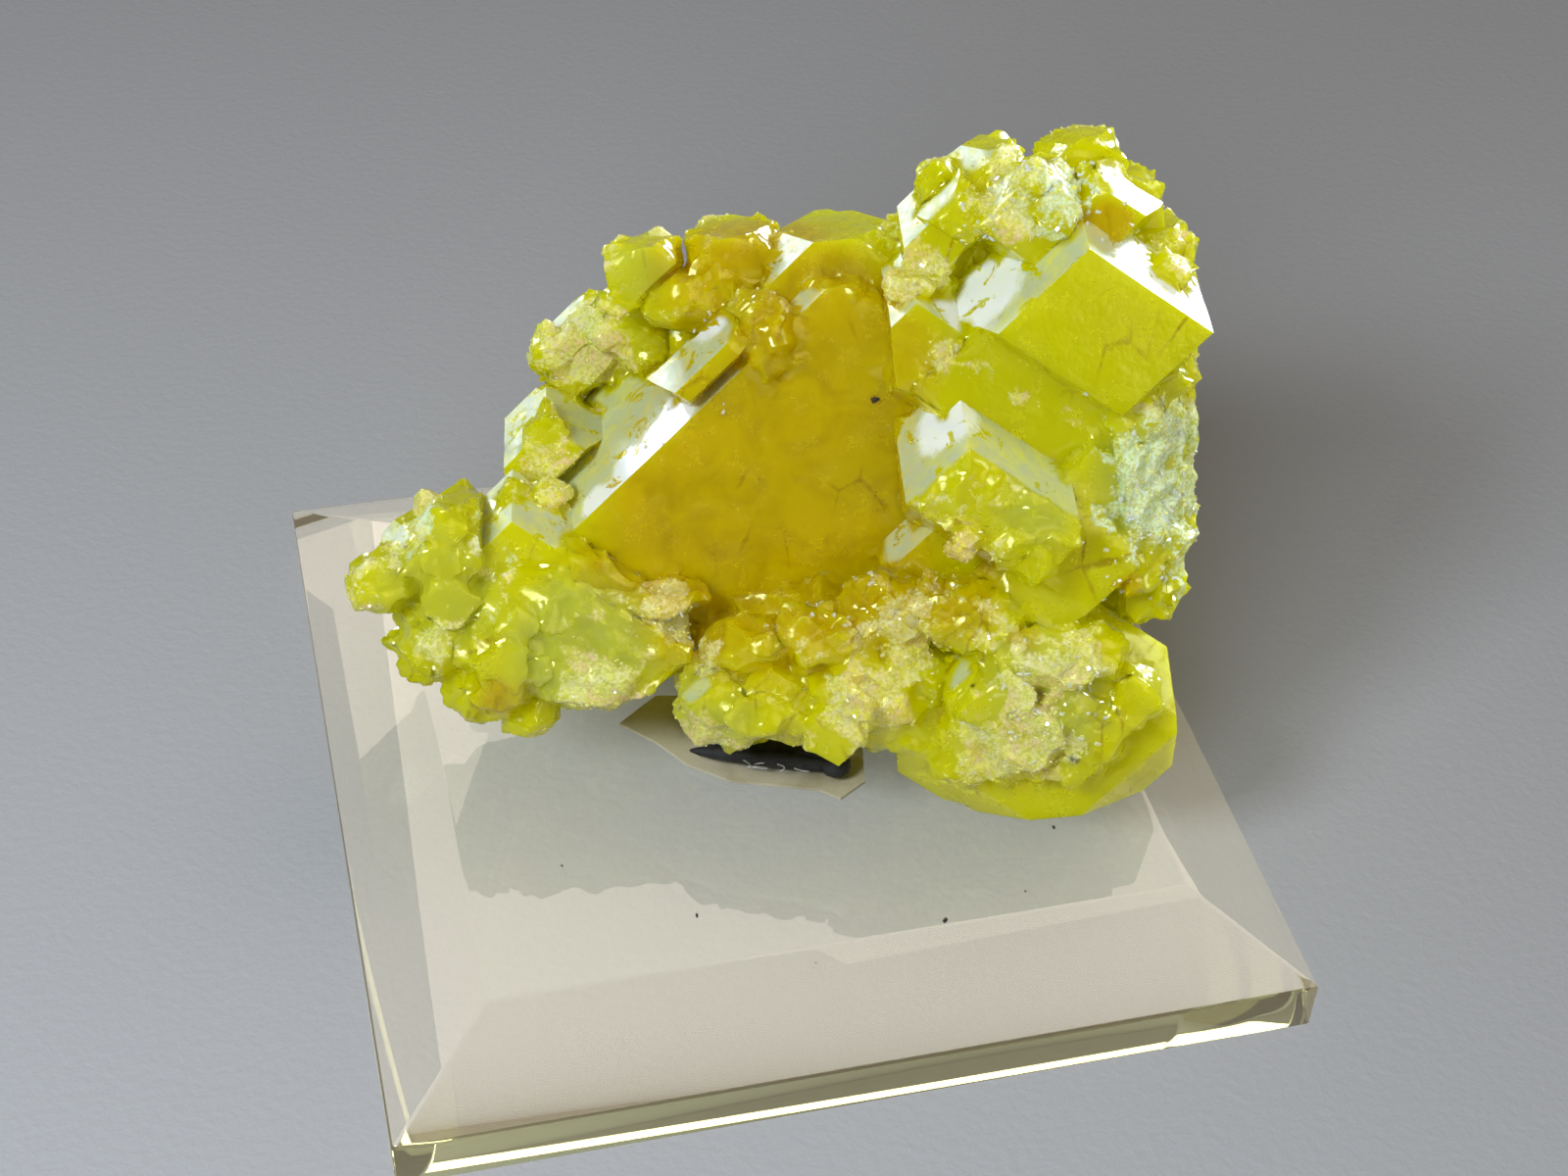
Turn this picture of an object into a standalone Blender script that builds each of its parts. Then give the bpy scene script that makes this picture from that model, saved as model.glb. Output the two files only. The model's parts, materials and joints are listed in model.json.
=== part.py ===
"""A native sulfur specimen on a clear display base.

Everything is in millimetres until a mesh is finished, and then in metres. The crystals all grew the same
way round, so they are laid out along the shared crystal axes: x along b, y along a and z along c. The
cluster is then turned into its place on the base.
"""

import math
import random

import bmesh
import bpy
from mathutils import Matrix, Vector, noise
from mathutils.bvhtree import BVHTree

MM = 0.001

# Display base: a square slab with a wide bevel round its top.
BASE_WIDTH = 50.8
BASE_HEIGHT = 6.35
BASE_WALL = 3.2
BASE_BEVEL = 6.0

# Cluster: how the crystal axes lean back, turn and roll, and the height of their shared centre.
LEAN = 68.0
TURN = -12.5
ROLL = 6.6
CENTRE_HEIGHT = 20.0

# The cluster rests on the base at one side and on the tack at the other.
GAP = 0.2
SEAT_HEIGHT = BASE_HEIGHT + GAP
TACK_REACH = 5.6

# Black tack pressed out under the cluster, with a rolled front edge that ends in a knob, and the paper scrap
# below it.
PAPER_THICK = 0.2
TACK_THICK = 1.25
TACK_START = Vector((-5.6, -4.9, 0.0))
TACK_END = Vector((2.8, -8.0, 0.0))
TACK_DEPTH = 9.0
TACK_CORNER = 0.67
TACK_DENTS = 0.12
KNOB_SIZE = (0.9, 0.75, 0.6)
PAPER_BOTTOM = BASE_HEIGHT + GAP
TACK_BOTTOM = PAPER_BOTTOM + PAPER_THICK + GAP
TACK_TOP = TACK_BOTTOM + TACK_THICK

# Sulfur's axes against b, which set every face angle.
AXIS_A = 0.8131
AXIS_C = 1.9034


def face_normal(h, k, l):
    """Direction of the crystal face (hkl), with x along b, y along a and z along c."""
    return Vector((k, h / AXIS_A, l / AXIS_C)).normalized()


STEEP = face_normal(1, 1, 1)
SHALLOW = face_normal(1, 1, 3)
RUN = Vector((STEEP.x, STEEP.y)).normalized()
FLARE = STEEP.z / math.hypot(STEEP.x, STEEP.y)
QUARTERS = ((1, 1), (-1, 1), (-1, -1), (1, -1))
LARGEST = 80.0
FLAT_ANGLE = math.radians(0.3)


def cut(block, point, normal):
    """Cut a face on a solid block: all that lies beyond the plane goes, and the hole is closed."""
    geometry = block.verts[:] + block.edges[:] + block.faces[:]
    result = bmesh.ops.bisect_plane(
        block, geom=geometry, plane_co=point, plane_no=normal, clear_outer=True
    )
    rim = [item for item in result["geom_cut"] if isinstance(item, bmesh.types.BMEdge)]
    if rim:
        bmesh.ops.edgeloop_fill(block, edges=rim)


def crystal(place, sides, length, ends=(0, 0, 0, 0), bevel=0.0, waist=0.5, turn=(0.0, 0.0, 0.0)):
    """A blocky crystal whose flat front is centred at place.

    sides are the distances from that centre to the upper right, upper left, lower left and lower right
    edges of the front, and ends cut off the right, top, left and bottom corners where they aren't 0. The
    crystal widens backwards to its waist and narrows again behind it.
    """
    block = bmesh.new()
    bmesh.ops.create_cube(block, size=LARGEST)
    cut(block, Vector((0, 0, 0)), Vector((0, 0, 1)))
    cut(block, Vector((0, 0, -length)), Vector((0, 0, -1)))
    belly = -length * waist
    for (right, up), distance in zip(QUARTERS, sides):
        across = Vector((right * RUN.x, up * RUN.y, 0))
        flank = Vector((right * STEEP.x, up * STEEP.y, STEEP.z))
        cut(block, across * distance, flank)
        if waist < 1.0:
            at_belly = across * (distance - belly * FLARE)
            cut(block, at_belly + Vector((0, 0, belly)), flank * Vector((1, 1, -1)))
        if bevel:
            slope = Vector((right * SHALLOW.x, up * SHALLOW.y, SHALLOW.z))
            cut(block, across * (distance - bevel), slope)
    for outward, distance in zip(((1, 0), (0, 1), (-1, 0), (0, -1)), ends):
        if distance:
            outward = Vector((*outward, 0))
            cut(block, outward * distance, outward)
    spin = Matrix.Rotation(math.radians(turn[2]), 4, "Z")
    spin = spin @ Matrix.Rotation(math.radians(turn[1]), 4, "Y")
    spin = spin @ Matrix.Rotation(math.radians(turn[0]), 4, "X")
    block.transform(Matrix.Translation(place) @ spin)
    return block


def lump(place, size, seed, detail, bumps=0.32, grain=0.35):
    """A rounded, uneven mass of tiny crystals grown together."""
    block = bmesh.new()
    bmesh.ops.create_icosphere(block, subdivisions=detail, radius=1.0)
    shift = Vector((seed * 7.3, seed * 3.1, seed * 5.7))
    for vertex in block.verts:
        point = Vector(a * b for a, b in zip(vertex.co, size))
        broad = noise.noise(point * grain + shift)
        fine = noise.noise(point * 2.4 * grain + shift)
        vertex.co = point * (1.0 + bumps * (broad + fine / 2))
    block.transform(Matrix.Translation(place))
    return block


# The large crystals: place of the front's centre, sides, length, ends, then any of bevel, waist and turn.
BIG_CRYSTALS = {
    "main": ((0.9, 3.0, 1.0), (10.4, 5.65, 11.0, 9.5), 19.0, (0, 10.0, 13.0, 10.5)),
    "tower_kite": ((17.5, 11.0, 6.8), (3.2, 3.2, 3.0, 4.6), 12.0, (6.2, 0, 0, 0)),
    "tower_step": ((12.7, 7.4, 4.6), (5.9, 3.4, 2.8, 7.0), 13.0, (11.0, 0, 5.8, 0)),
    "tower_shoulder": ((9.5, 9.4, 4.55), (1.9, 3.0, 2.4, 3.4), 10.0, (0, 0, 2.3, 0)),
    "tower_band": ((10.5, 12.4, 0.5), (3.2, 2.6, 3.0, 4.0), 8.0, (0, 0, 3.2, 0)),
    "tower_left": ((11.3, 15.8, 2.4), (4.2, 1.3, 4.6, 1.0), 7.0, (3.6, 3.7, 3.0, 0)),
    "tower_left2": ((14.4, 16.6, 3.2), (1.2, 0.6, 2.0, 0.9), 5.0, (0, 1.6, 0, 0)),
    "druse_mid": ((15.4, 17.2, 4.5), (1.3, 1.4, 2.8, 2.2), 5.0, (2.0, 1.6, 0, 0)),
    "top_knob": ((18.1, 18.0, 0.2), (1.6, 1.3, 2.2, 2.2), 4.5, (2.3, 1.4, 2.2, 0)),
    "right_top": ((20.6, 16.0, 1.5), (1.2, 1.8, 2.4, 2.2), 4.5, (1.6, 1.4, 0, 0)),
    "right_top2": ((22.2, 13.2, 2.2), (1.3, 2.0, 2.6, 2.4), 5.0, (1.3, 1.4, 0, 0)),
    "tower_low": ((11.9, 1.6, 8.6), (2.1, 3.8, 1.9, 4.0), 13.0, (4.2, 0, 4.8, 0)),
    "tower_stub": ((17.2, 2.0, 5.6), (1.8, 1.4, 2.4, 2.4), 8.0, (1.6, 0, 1.4, 0)),
    "mid_strip": ((9.0, -1.5, 3.4), (3.4, 1.0, 2.9, 3.4), 8.0, (2.6, 0, 3.2, 0)),
    "foot": ((15.5, -2.6, 6.5), (3.4, 2.4, 3.2, 2.4), 9.0, (3.6, 0, 0, 0)),
    "side_a": ((20.0, 1.6, 5.6), (5.5, 5.5, 5.5, 5.5), 8.0, (1.2, 0, 1.2, 5.8), 0.0, 0.5, (0, 28, 0)),
    "side_b": ((21.6, 0.6, 4.4), (5.3, 5.3, 5.3, 5.3), 8.0, (1.0, 0, 1.3, 0), 0.0, 0.5, (0, 36, 0)),
    "side_c": ((22.6, 3.2, 3.0), (4.5, 4.5, 4.5, 4.5), 7.0, (0.8, 0, 1.1, 0), 0.0, 0.5, (0, 40, 0)),
    "knob": ((20.3, -5.4, 4.5), (1.2, 1.4, 1.4, 1.2), 5.0, (1.2, 0, 1.6, 1.0)),
    "left_mid": ((-12.3, 4.0, -2.0), (1.6, 1.2, 2.7, 1.2), 8.0, (0, 0, 2.3, 2.9)),
    "left_top": ((-10.0, 8.0, -6.4), (2.4, 1.4, 1.8, 1.2), 6.0, (2.4, 0, 2.4, 0)),
    "back_left": ((-6.0, 14.2, -2.0), (1.6, 1.2, 2.4, 1.2), 4.0, (2.3, 1.2, 1.7, 2.6)),
    "back_mid": ((-0.9, 13.6, -2.6), (2.0, 1.8, 3.0, 3.0), 6.0, (2.6, 1.7, 2.4, 0)),
    "back_right": ((4.4, 13.4, -0.6), (2.4, 1.8, 3.0, 3.0), 7.0, (3.8, 1.7, 3.6, 0)),
    "terrace_a": ((-2.1, 10.4, -3.6), (2.2, 0.8, 2.6, 1.2), 6.0, (2.2, 0, 2.6, 0)),
    "terrace_b": ((-2.6, 9.2, 1.8), (2.4, 0.4, 2.0, 0.5), 6.0),
    "arm_top": ((-17.6, 0.8, 4.0), (1.9, 1.2, 2.2, 1.8), 7.0, (1.8, 2.4, 0, 0)),
    "arm_side": ((-19.4, 0.0, 2.6), (2.0, 1.3, 2.0, 2.0), 6.0, (0, 1.8, 2.2, 0)),
    "arm_root": ((-14.5, -1.3, 3.0), (3.0, 2.4, 2.6, 3.6), 8.0, (4.2, 0, 0, 0)),
    "arm_plate": ((-9.5, -4.2, 5.0), (1.7, 3.6, 3.4, 4.0), 7.0, (4.4, 0, 6.0, 3.8)),
    "low_right": ((15.1, -10.8, 6.0), (5.4, 7.4, 8.6, 7.4), 10.0, (6.0, 0, 9.4, 6.3), 2.2, 0.15),
}

# Rounded masses: place, half sizes and how finely each is divided.
LUMPS = {
    "arm_tip": ((-21.4, -0.8, 2.4), (2.3, 1.7, 2.4), 2),
    "arm_low": ((-19.2, -4.0, 2.0), (2.2, 2.8, 2.8), 2),
    "arm_under": ((-16.2, -7.4, 2.0), (3.0, 2.2, 2.6), 2),
    "arm_foot": ((-14.6, -9.0, 2.0), (1.8, 1.6, 2.0), 2),
    "arm_mid": ((-14.0, -4.0, 2.6), (4.4, 3.4, 2.8), 3),
    "arm_right": ((-10.4, -6.6, 3.0), (4.2, 2.4, 2.8), 2),
    "ridge_a": ((-3.4, 12.0, -3.4), (2.8, 1.6, 2.4), 2),
    "ridge_b": ((-7.4, 10.0, -7.2), (2.8, 1.6, 2.6), 2),
    "terrace_dome": ((0.8, 10.3, 0.4), (1.4, 2.6, 1.7), 2),
    "rim_left": ((-7.2, -3.2, 2.6), (3.4, 1.0, 2.2), 2),
    "rim_a": ((-1.8, -5.8, 4.4), (2.8, 1.7, 2.8), 2),
    "rim_b": ((2.4, -5.4, 4.6), (3.0, 1.7, 2.8), 2),
    "rim_c": ((6.2, -4.2, 4.6), (3.2, 2.2, 2.8), 2),
    "rim_d": ((10.4, -4.6, 5.2), (3.2, 2.2, 3.0), 2),
    "shelf": ((-1.4, -8.8, 3.2), (5.0, 3.4, 3.8), 3),
    "shelf_right": ((4.8, -8.8, 3.8), (4.8, 3.6, 3.8), 3),
    "top_druse": ((17.6, 16.4, 0.6), (3.2, 2.3, 3.0), 2),
    "right_side": ((20.2, 5.0, 0.8), (3.2, 5.4, 3.8), 2),
    "right_low": ((20.0, -1.6, 1.2), (2.8, 3.8, 3.6), 2),
    "plate_a": ((14.2, -7.4, 5.6), (4.8, 2.4, 3.0), 2),
    "plate_b": ((11.8, -11.4, 5.6), (4.2, 2.8, 2.8), 3),
    "plate_c": ((16.4, -10.4, 5.4), (3.2, 3.4, 2.4), 2),
    "plate_d": ((14.3, -13.5, 5.4), (4.2, 1.7, 2.2), 2),
    "plate_e": ((10.0, -13.1, 4.9), (2.8, 1.9, 2.3), 2),
    "web": ((2.0, -7.0, 0.6), (8.0, 3.2, 4.0), 2),
    "core": ((2.0, 0.0, -7.0), (12.0, 9.0, 4.6), 2),
    "back": ((9.0, 5.0, -7.0), (10.0, 8.0, 4.6), 2),
}

# Small crystals crowded on the large ones: middle, half sizes of the patch, how many, smallest and largest
# half width, and whether they face front (1) or back (-1).
DRUSE = {
    "left_crust": ((-9.5, 9.0), (3.6, 2.8), 6, 0.5, 1.2, 1),
    "left_mid_crust": ((-13.0, 3.6), (1.8, 2.6), 4, 0.5, 1.1, 1),
    "ridge_crust": ((-3.5, 12.2), (4.0, 1.0), 5, 0.5, 1.1, 1),
    "tower_crust": ((15.0, 17.0), (4.6, 2.0), 8, 0.5, 1.3, 1),
    "tower_left_crust": ((9.6, 13.2), (2.2, 1.6), 3, 0.5, 0.9, 1),
    "right_crust": ((22.4, 13.6), (0.8, 1.6), 3, 0.5, 0.9, 1),
    "side_crust": ((20.9, 1.0), (1.5, 6.0), 4, 0.5, 0.9, 1),
    "low_crust": ((13.0, -0.6), (3.6, 2.4), 6, 0.6, 1.4, 1),
    "rim_crust": ((1.5, -4.8), (5.5, 1.0), 8, 0.5, 1.0, 1),
    "rim_right_crust": ((8.0, -3.6), (3.5, 1.2), 6, 0.5, 1.0, 1),
    "shelf_crust": ((1.5, -8.2), (6.0, 1.8), 12, 0.7, 1.5, 1),
    "plate_crust": ((13.8, -10.0), (4.8, 4.0), 12, 0.7, 1.7, 1),
    "arm_crust": ((-16.0, -4.6), (4.6, 3.8), 10, 0.7, 1.6, 1),
    "arm_top_crust": ((-18.8, 1.6), (2.4, 1.2), 4, 0.5, 1.0, 1),
    "back_crust": ((4.0, 1.0), (16.0, 9.5), 22, 1.6, 3.0, -1),
}


def solid(name, block, matrix):
    """Turn a finished block into an object."""
    bmesh.ops.triangulate(block, faces=block.faces)
    mesh = bpy.data.meshes.new(name)
    block.to_mesh(mesh)
    block.free()
    mesh.transform(matrix)
    thing = bpy.data.objects.new(name, mesh)
    bpy.context.collection.objects.link(thing)
    return thing


def settle(thing):
    """Apply the modifiers, and merge the triangles that lie in one flat face."""
    graph = bpy.context.evaluated_depsgraph_get()
    mesh = bpy.data.meshes.new_from_object(thing.evaluated_get(graph))
    thing.modifiers.clear()
    thing.data = mesh
    tidy = bmesh.new()
    tidy.from_mesh(mesh)
    bmesh.ops.dissolve_limit(
        tidy, angle_limit=FLAT_ANGLE, verts=tidy.verts, edges=tidy.edges, use_dissolve_boundaries=False
    )
    bmesh.ops.triangulate(tidy, faces=tidy.faces)
    tidy.to_mesh(mesh)
    tidy.free()


def joined(name, blocks):
    """One closed object from overlapping blocks."""
    first = solid(name, blocks[0], Matrix.Identity(4))
    grown = bpy.data.collections.new(name + "_grown")
    for number, block in enumerate(blocks[1:]):
        piece = solid(f"{name}_{number}", block, Matrix.Identity(4))
        bpy.context.collection.objects.unlink(piece)
        grown.objects.link(piece)
    join = first.modifiers.new("join", "BOOLEAN")
    join.operand_type = "COLLECTION"
    join.collection = grown
    join.operation = "UNION"
    join.solver = "EXACT"
    settle(first)
    for piece in list(grown.objects):
        bpy.data.objects.remove(piece)
    bpy.data.collections.remove(grown)
    return first


def small_crystal(place, size, facing, chance):
    """One crystal of the crowd, a little uneven, with its front just clear of the surface it grows on."""
    sides = [size * chance.uniform(0.7, 1.2) for _ in range(4)]
    ends = [size * chance.uniform(0.9, 1.6) if chance.random() < 0.5 else 0 for _ in range(4)]
    turn = [chance.uniform(-4.0, 4.0) for _ in range(3)]
    if facing < 0:
        turn[0] += 180.0
    return crystal(place, sides, size * 1.8, ends, turn=turn, waist=1.0)


def druse(surface):
    """The crowds of small crystals, each set down on the surface beneath it."""
    blocks = []
    for number, (middle, reach, count, smallest, largest, facing) in enumerate(DRUSE.values()):
        chance = random.Random(number)
        for _ in range(count):
            angle = chance.uniform(0, math.tau)
            out = math.sqrt(chance.random())
            x = middle[0] + reach[0] * out * math.cos(angle)
            y = middle[1] + reach[1] * out * math.sin(angle)
            start = Vector((x, y, facing * LARGEST))
            hit = surface.ray_cast(start, Vector((0, 0, -facing)))[0]
            if hit is None:
                continue
            size = smallest + (largest - smallest) * chance.random() ** 2
            lift = Vector((0, 0, facing * size * chance.uniform(0.2, 0.6)))
            blocks.append(small_crystal(hit + lift, size, facing, chance))
    return blocks


def sulfur_cluster(matrix):
    """All the crystals and crust as one solid, turned into its place by the matrix."""
    blocks = [crystal(*values) for values in BIG_CRYSTALS.values()]
    for seed, (place, size, detail) in enumerate(LUMPS.values()):
        blocks.append(lump(place, size, seed, detail))
    body = joined("body", blocks)
    shape = bmesh.new()
    shape.from_mesh(body.data)
    bpy.data.objects.remove(body)
    crowd = druse(BVHTree.FromBMesh(shape))
    cluster = joined("sulfur_cluster", [shape] + crowd)
    cluster.data.transform(matrix)
    seat_on_base(cluster)
    return cluster


def box(low, high):
    """A plain block between two opposite corners."""
    block = bmesh.new()
    bmesh.ops.create_cube(block, size=1.0)
    low, high = Vector(low), Vector(high)
    block.transform(Matrix.Translation((low + high) / 2) @ Matrix.Diagonal((*(high - low), 1.0)))
    return block


def seat_on_base(cluster):
    """Cut the underside off flat where the cluster rests on the base, and on the tack."""
    wide = LARGEST
    under = box((-wide, -wide, -wide), (wide, wide, SEAT_HEIGHT))
    bed = box((-wide, -wide, -wide), (TACK_REACH, wide, TACK_TOP + GAP))
    seat = joined("seat", [under, bed])
    seat.data.transform(Matrix.Scale(MM, 4))
    trim = cluster.modifiers.new("seat", "BOOLEAN")
    trim.object = seat
    trim.operation = "DIFFERENCE"
    trim.solver = "EXACT"
    settle(cluster)
    bpy.data.objects.remove(seat)


def roll(start, end, radius):
    """A rounded, dented roll of putty from start to end."""
    block = bmesh.new()
    bmesh.ops.create_uvsphere(block, u_segments=24, v_segments=12, radius=radius)
    along = (end - start).normalized()
    side = Vector((0, 0, 1)).cross(along)
    for vertex in block.verts:
        share = (vertex.co.z / radius + 1.0) / 2
        fat = 1.0 + TACK_DENTS * noise.noise(vertex.co * 1.5)
        around = side * vertex.co.x + Vector((0, 0, vertex.co.y))
        vertex.co = start.lerp(end, share) + around * fat
    bmesh.ops.recalc_face_normals(block, faces=block.faces)
    return block


def pressed_pad(corner, along, back):
    """A flat pad of putty with drawn-in corners and a dented rim, from its front left corner."""
    pad = bmesh.new()
    bmesh.ops.create_cube(pad, size=1.0)
    bmesh.ops.subdivide_edges(pad, edges=pad.edges, cuts=7, use_grid_fill=True)
    middle = corner + (along + back) / 2
    for vertex in pad.verts:
        flat = Vector((vertex.co.x, vertex.co.y, 0))
        drawn_in = 1.0 - TACK_CORNER * flat.length**4
        dented = 1.0 + TACK_DENTS * noise.noise(flat * 3.0)
        thick = TACK_THICK * (1.0 - TACK_DENTS + TACK_DENTS * noise.noise(flat * 4.0))
        spread = (along * flat.x + back * flat.y) * drawn_in * dented
        vertex.co = middle + spread + Vector((0, 0, vertex.co.z * thick))
    return pad


def mineral_tack():
    """A pressed pad of black putty whose front edge is rolled over."""
    lift = Vector((0, 0, TACK_BOTTOM + TACK_THICK / 2))
    start, end = TACK_START + lift, TACK_END + lift
    along = end - start
    back = Vector((0, 0, 1)).cross(along).normalized() * TACK_DEPTH
    pad = pressed_pad(start, along, back)
    front = roll(start, end, TACK_THICK * 0.4)
    knob = lump(end - along * 0.06, KNOB_SIZE, 5, 2, TACK_DENTS)
    tack = joined("mineral_tack", [pad, front, knob])
    tack.data.transform(Matrix.Scale(MM, 4))
    return tack


def paper_scrap():
    """A torn scrap of thin paper between the tack and the base."""
    edge = ((-8.9, -1.2), (-7.1, -3.1), (-5.8, -5.1), (-3.6, -6.9), (-0.7, -7.9), (1.2, -8.6))
    edge += ((2.2, -9.5), (3.9, -8.5), (4.4, -6.0), (2.6, -1.6), (-2.2, -0.2), (-6.4, 0.6))
    sheet = bmesh.new()
    corners = [sheet.verts.new((x, y, PAPER_BOTTOM)) for x, y in edge]
    face = sheet.faces.new(corners)
    grown = bmesh.ops.extrude_face_region(sheet, geom=[face])
    lifted = [item for item in grown["geom"] if isinstance(item, bmesh.types.BMVert)]
    bmesh.ops.translate(sheet, verts=lifted, vec=Vector((0, 0, PAPER_THICK)))
    bmesh.ops.recalc_face_normals(sheet, faces=sheet.faces)
    return solid("paper_scrap", sheet, Matrix.Scale(MM, 4))


def base_slab():
    """The clear slab: a straight wall below and a wide flat bevel up to its top."""
    block = bmesh.new()
    bmesh.ops.create_cube(block, size=1.0)
    block.transform(Matrix.Diagonal((BASE_WIDTH, BASE_WIDTH, BASE_WALL, 1.0)))
    block.transform(Matrix.Translation((0, 0, BASE_WALL / 2)))
    block.faces.ensure_lookup_table()
    top = [face for face in block.faces if face.normal.z > 0.5]
    bmesh.ops.inset_region(block, faces=top, thickness=BASE_BEVEL, depth=0.0)
    rise = Vector((0, 0, BASE_HEIGHT - BASE_WALL))
    bmesh.ops.translate(block, verts=top[0].verts[:], vec=rise)
    return solid("acrylic_base", block, Matrix.Scale(MM, 4))


def finish(thing, colour, roughness):
    """Give a piece its own plain material."""
    material = bpy.data.materials.new(thing.name)
    material.use_nodes = True
    shader = material.node_tree.nodes["Principled BSDF"]
    shader.inputs["Base Color"].default_value = (*colour, 1.0)
    shader.inputs["Roughness"].default_value = roughness
    shader.inputs["Metallic"].default_value = 0.0
    thing.data.materials.clear()
    thing.data.materials.append(material)


def clear_scene():
    """Remove whatever the scene holds."""
    for thing in list(bpy.data.objects):
        bpy.data.objects.remove(thing)


def main():
    clear_scene()
    turned = Matrix.Rotation(math.radians(TURN), 4, "Z")
    turned = turned @ Matrix.Rotation(math.radians(LEAN), 4, "X")
    turned = turned @ Matrix.Rotation(math.radians(ROLL), 4, "Z")
    seat = Matrix.Scale(MM, 4) @ Matrix.Translation((0, 0, CENTRE_HEIGHT)) @ turned
    finish(sulfur_cluster(seat), (0.72, 0.72, 0.04), 0.25)
    finish(base_slab(), (0.86, 0.88, 0.80), 0.05)
    finish(mineral_tack(), (0.03, 0.03, 0.03), 0.55)
    finish(paper_scrap(), (0.74, 0.68, 0.50), 0.8)


main()
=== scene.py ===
"""Looks of a native sulfur specimen on its clear display base.

Laid out as a Blender add-on and run as a script. Each operator makes one piece, or one group of like pieces,
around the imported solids. Lengths are in metres unless a name or a comment says millimetres.
"""

import json
import math

import bmesh
import bpy
import numpy as np
from bpy.props import FloatProperty, FloatVectorProperty, IntProperty, PointerProperty
from bpy.types import Operator, Panel, PropertyGroup
from mathutils import Matrix, Quaternion, Vector, kdtree, noise

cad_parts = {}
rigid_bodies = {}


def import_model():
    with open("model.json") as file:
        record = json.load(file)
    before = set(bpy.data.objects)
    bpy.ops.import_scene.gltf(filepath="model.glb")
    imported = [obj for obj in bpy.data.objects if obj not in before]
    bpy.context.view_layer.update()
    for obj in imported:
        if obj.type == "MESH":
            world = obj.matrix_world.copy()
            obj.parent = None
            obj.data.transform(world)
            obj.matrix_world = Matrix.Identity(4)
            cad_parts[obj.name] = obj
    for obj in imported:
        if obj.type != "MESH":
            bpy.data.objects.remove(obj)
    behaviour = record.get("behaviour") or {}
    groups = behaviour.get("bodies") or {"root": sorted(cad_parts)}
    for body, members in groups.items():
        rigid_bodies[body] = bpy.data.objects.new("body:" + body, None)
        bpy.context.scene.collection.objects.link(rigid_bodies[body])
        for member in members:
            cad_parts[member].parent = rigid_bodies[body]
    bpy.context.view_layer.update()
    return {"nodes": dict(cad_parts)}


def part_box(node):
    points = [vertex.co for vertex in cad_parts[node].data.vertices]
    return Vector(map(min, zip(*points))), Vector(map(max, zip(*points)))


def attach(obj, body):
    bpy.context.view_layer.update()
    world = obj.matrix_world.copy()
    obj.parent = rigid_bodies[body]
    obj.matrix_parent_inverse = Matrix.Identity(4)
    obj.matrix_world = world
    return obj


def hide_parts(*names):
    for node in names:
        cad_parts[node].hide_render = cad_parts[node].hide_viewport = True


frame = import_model()

bl_info = {
    "name": "Sulfur Specimen",
    "version": (1, 0, 0),
    "blender": (4, 5, 0),
    "location": "View3D > Sidebar > Specimen",
    "description": "Builds the looks of a sulfur crystal cluster on a clear base",
    "category": "Object",
}

MM = 0.001

# The crystals' shared axes: how they lean back, turn and roll, and where they cross.
LEAN = math.radians(68.0)
TURN = math.radians(-12.5)
ROLL = math.radians(6.6)
CENTRE = Vector((0.0, 0.0, 0.020))
AXES = Matrix.Rotation(TURN, 3, "Z") @ Matrix.Rotation(LEAN, 3, "X") @ Matrix.Rotation(ROLL, 3, "Z")

# Sulfur's axes against b, and the faces that the crystals show, in crystal axes.
AXIS_A = 0.8131
AXIS_C = 1.9034
FACE_KINDS = ((0, 0, 1), (1, 1, 1), (1, 1, 3), (1, 0, 0), (0, 1, 0))

# Places in crystal millimetres, each with a reach and a strength.
AMBER_SPOTS = (
    ((0.0, 1.0, 1.0), 11.0, 1.0),
    ((3.5, 8.5, 1.0), 7.0, 1.0),
    ((9.0, -2.0, 7.0), 4.0, 0.7),
    ((0.0, 14.0, -2.0), 6.0, 0.75),
    ((-15.4, -7.2, 5.0), 2.0, 0.7),
    ((8.5, -10.0, 4.0), 2.2, 1.0),
    ((1.0, 1.0, -11.0), 7.0, 0.9),
    ((8.0, 10.0, -8.0), 4.0, 0.6),
    ((18.8, 15.6, 4.6), 1.6, 1.0),
    ((12.9, -5.7, 7.6), 1.0, 1.0),
    ((18.7, -3.8, 6.1), 1.0, 1.0),
)
PALE_SPOTS = (
    ((-18.0, -1.0, 3.0), 5.0, 0.7),
    ((-9.4, 9.2, -6.4), 2.5, 0.8),
    ((-11.0, -5.0, 5.0), 5.0, 1.0),
    ((-4.0, -9.5, 5.0), 4.0, 0.9),
    ((13.5, -9.0, 8.0), 5.0, 0.8),
    ((20.8, 2.0, 4.5), 5.0, 0.9),
    ((14.0, 2.0, 7.0), 3.5, 0.8),
    ((-6.0, 14.2, -2.0), 2.4, 0.7),
    ((14.0, 2.0, -7.0), 5.0, 0.8),
    ((-5.8, -4.2, 3.2), 1.8, 1.0),
    ((-10.0, -2.0, -7.0), 5.0, 0.8),
)
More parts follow.
